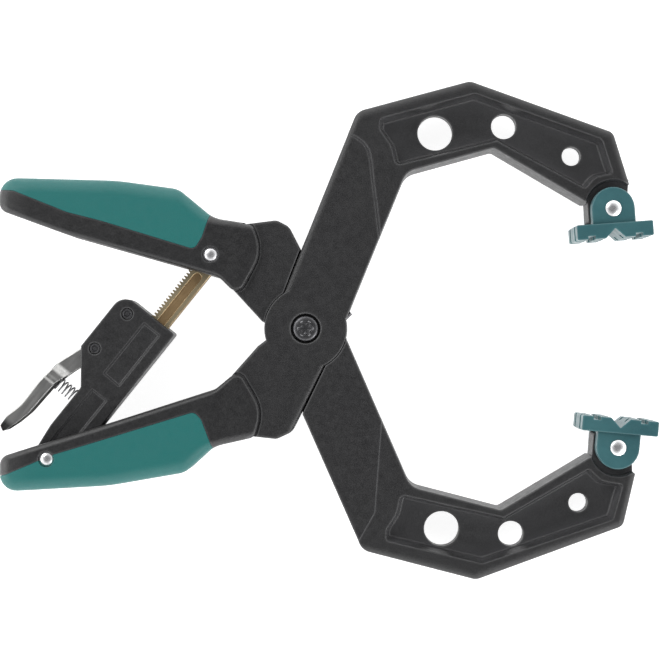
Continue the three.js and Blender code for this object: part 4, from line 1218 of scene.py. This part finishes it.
CAMERA_AT = (0.02299, -0.00437, 0.64)
CAMERA_LENS = 88.86
CAMERA_SHIFT = (-0.0537, 0.0144)
LIT_POINT = (0.01, 0, 0.01)
LIGHTS = [
    ("key", (-0.75, 0.75, 0.8), (0.7, 0.7), 5),
    ("fill", (0.85, -0.75, 0.7), (0.7, 0.7), 5),
    ("left", (-1.1, -0.3, 0.45), (0.5, 0.9), 3),
]
FLOOR_GAP = 0.1 * MM  # keeps the floor off the faces that lie on it
FLOOR_HALF = 3.0
# The sky's (height, grey, blue), with red and green both at the grey.
SKY = [(0.0, 1.0, 1.0), (0.4, 0.92, 0.9246), (0.66, 0.42, 0.4221), (0.9, 0.08, 0.082)]


def floor_plane():
    low = cad_box[0].z - FLOOR_GAP
    half = FLOOR_HALF
    mesh = bpy.data.meshes.new("floor")
    corners = [(-half, -half, low), (half, -half, low), (half, half, low), (-half, half, low)]
    mesh.from_pydata(corners, [], [(0, 1, 2, 3)])
    floor = linked("floor", mesh)
    s = Surface("pale floor", Roughness=0.8, Specular_IOR_Level=0.1, Emission_Strength=0.86)
    s.shader.inputs["Emission Color"].default_value = (1, 1, 1, 1)
    s.feed(Base_Color=s.mixed(s.ranged(s.noise(8, 3), 0, 1), (0.58, 0.58, 0.58), (0.62, 0.62, 0.62)))
    mesh.materials.append(s.material)


def studio_sky():
    """Bright all round and dark overhead, so that flats look dark and edges catch light."""
    world = bpy.data.worlds.new("studio")
    bpy.context.scene.world = world
    world.use_nodes = True
    nodes, links = world.node_tree.nodes, world.node_tree.links
    split = nodes.new("ShaderNodeSeparateXYZ")
    links.new(nodes.new("ShaderNodeTexCoord").outputs["Generated"], split.inputs[0])
    ramp = nodes.new("ShaderNodeValToRGB")
    links.new(split.outputs["Z"], ramp.inputs["Fac"])
    bands = ramp.color_ramp.elements
    bands[1].position = SKY[-1][0]
    for height, _, _ in SKY[1:-1]:
        bands.new(height)
    for band, (_, grey, blue) in zip(bands, SKY):
        band.color = (grey, grey, blue, 1)
    links.new(ramp.outputs["Color"], nodes["Background"].inputs["Color"])
    nodes["Background"].inputs["Strength"].default_value = 2.7


def stage():
    scene = bpy.context.scene
    scene.view_settings.view_transform = "Standard"
    floor_plane()
    studio_sky()
    for light in LIGHTS:
        lit(*light)

    camera = bpy.data.objects.new("camera", bpy.data.cameras.new("camera"))
    scene.collection.objects.link(camera)
    camera.location = CAMERA_AT
    camera.data.lens = CAMERA_LENS
    camera.data.sensor_width = 36
    camera.data.shift_x, camera.data.shift_y = CAMERA_SHIFT
    camera.data.clip_start = 0.05
    scene.camera = camera


front_arm()
rear_arm()
handle(
    "lower", "front_arm", LOWER_HANDLE, LOWER_GRIP_SIDE, LOWER_CHANNEL,
    FRONT_TANG, FRONT_WEB, LOWER_RIVET,
)
handle(
    "upper", "rear_arm", UPPER_HANDLE, UPPER_GRIP_SIDE, UPPER_CHANNEL,
    REAR_TANG, REAR_WEB, UPPER_RIVET,
)
pad("upper", UPPER_PIN, UPPER_TILT, 1)
pad("lower", LOWER_PIN, LOWER_TILT, -1)
pivot_screw()
pivot_nut_and_ring()
torsion_spring()
ratchet()
stage()
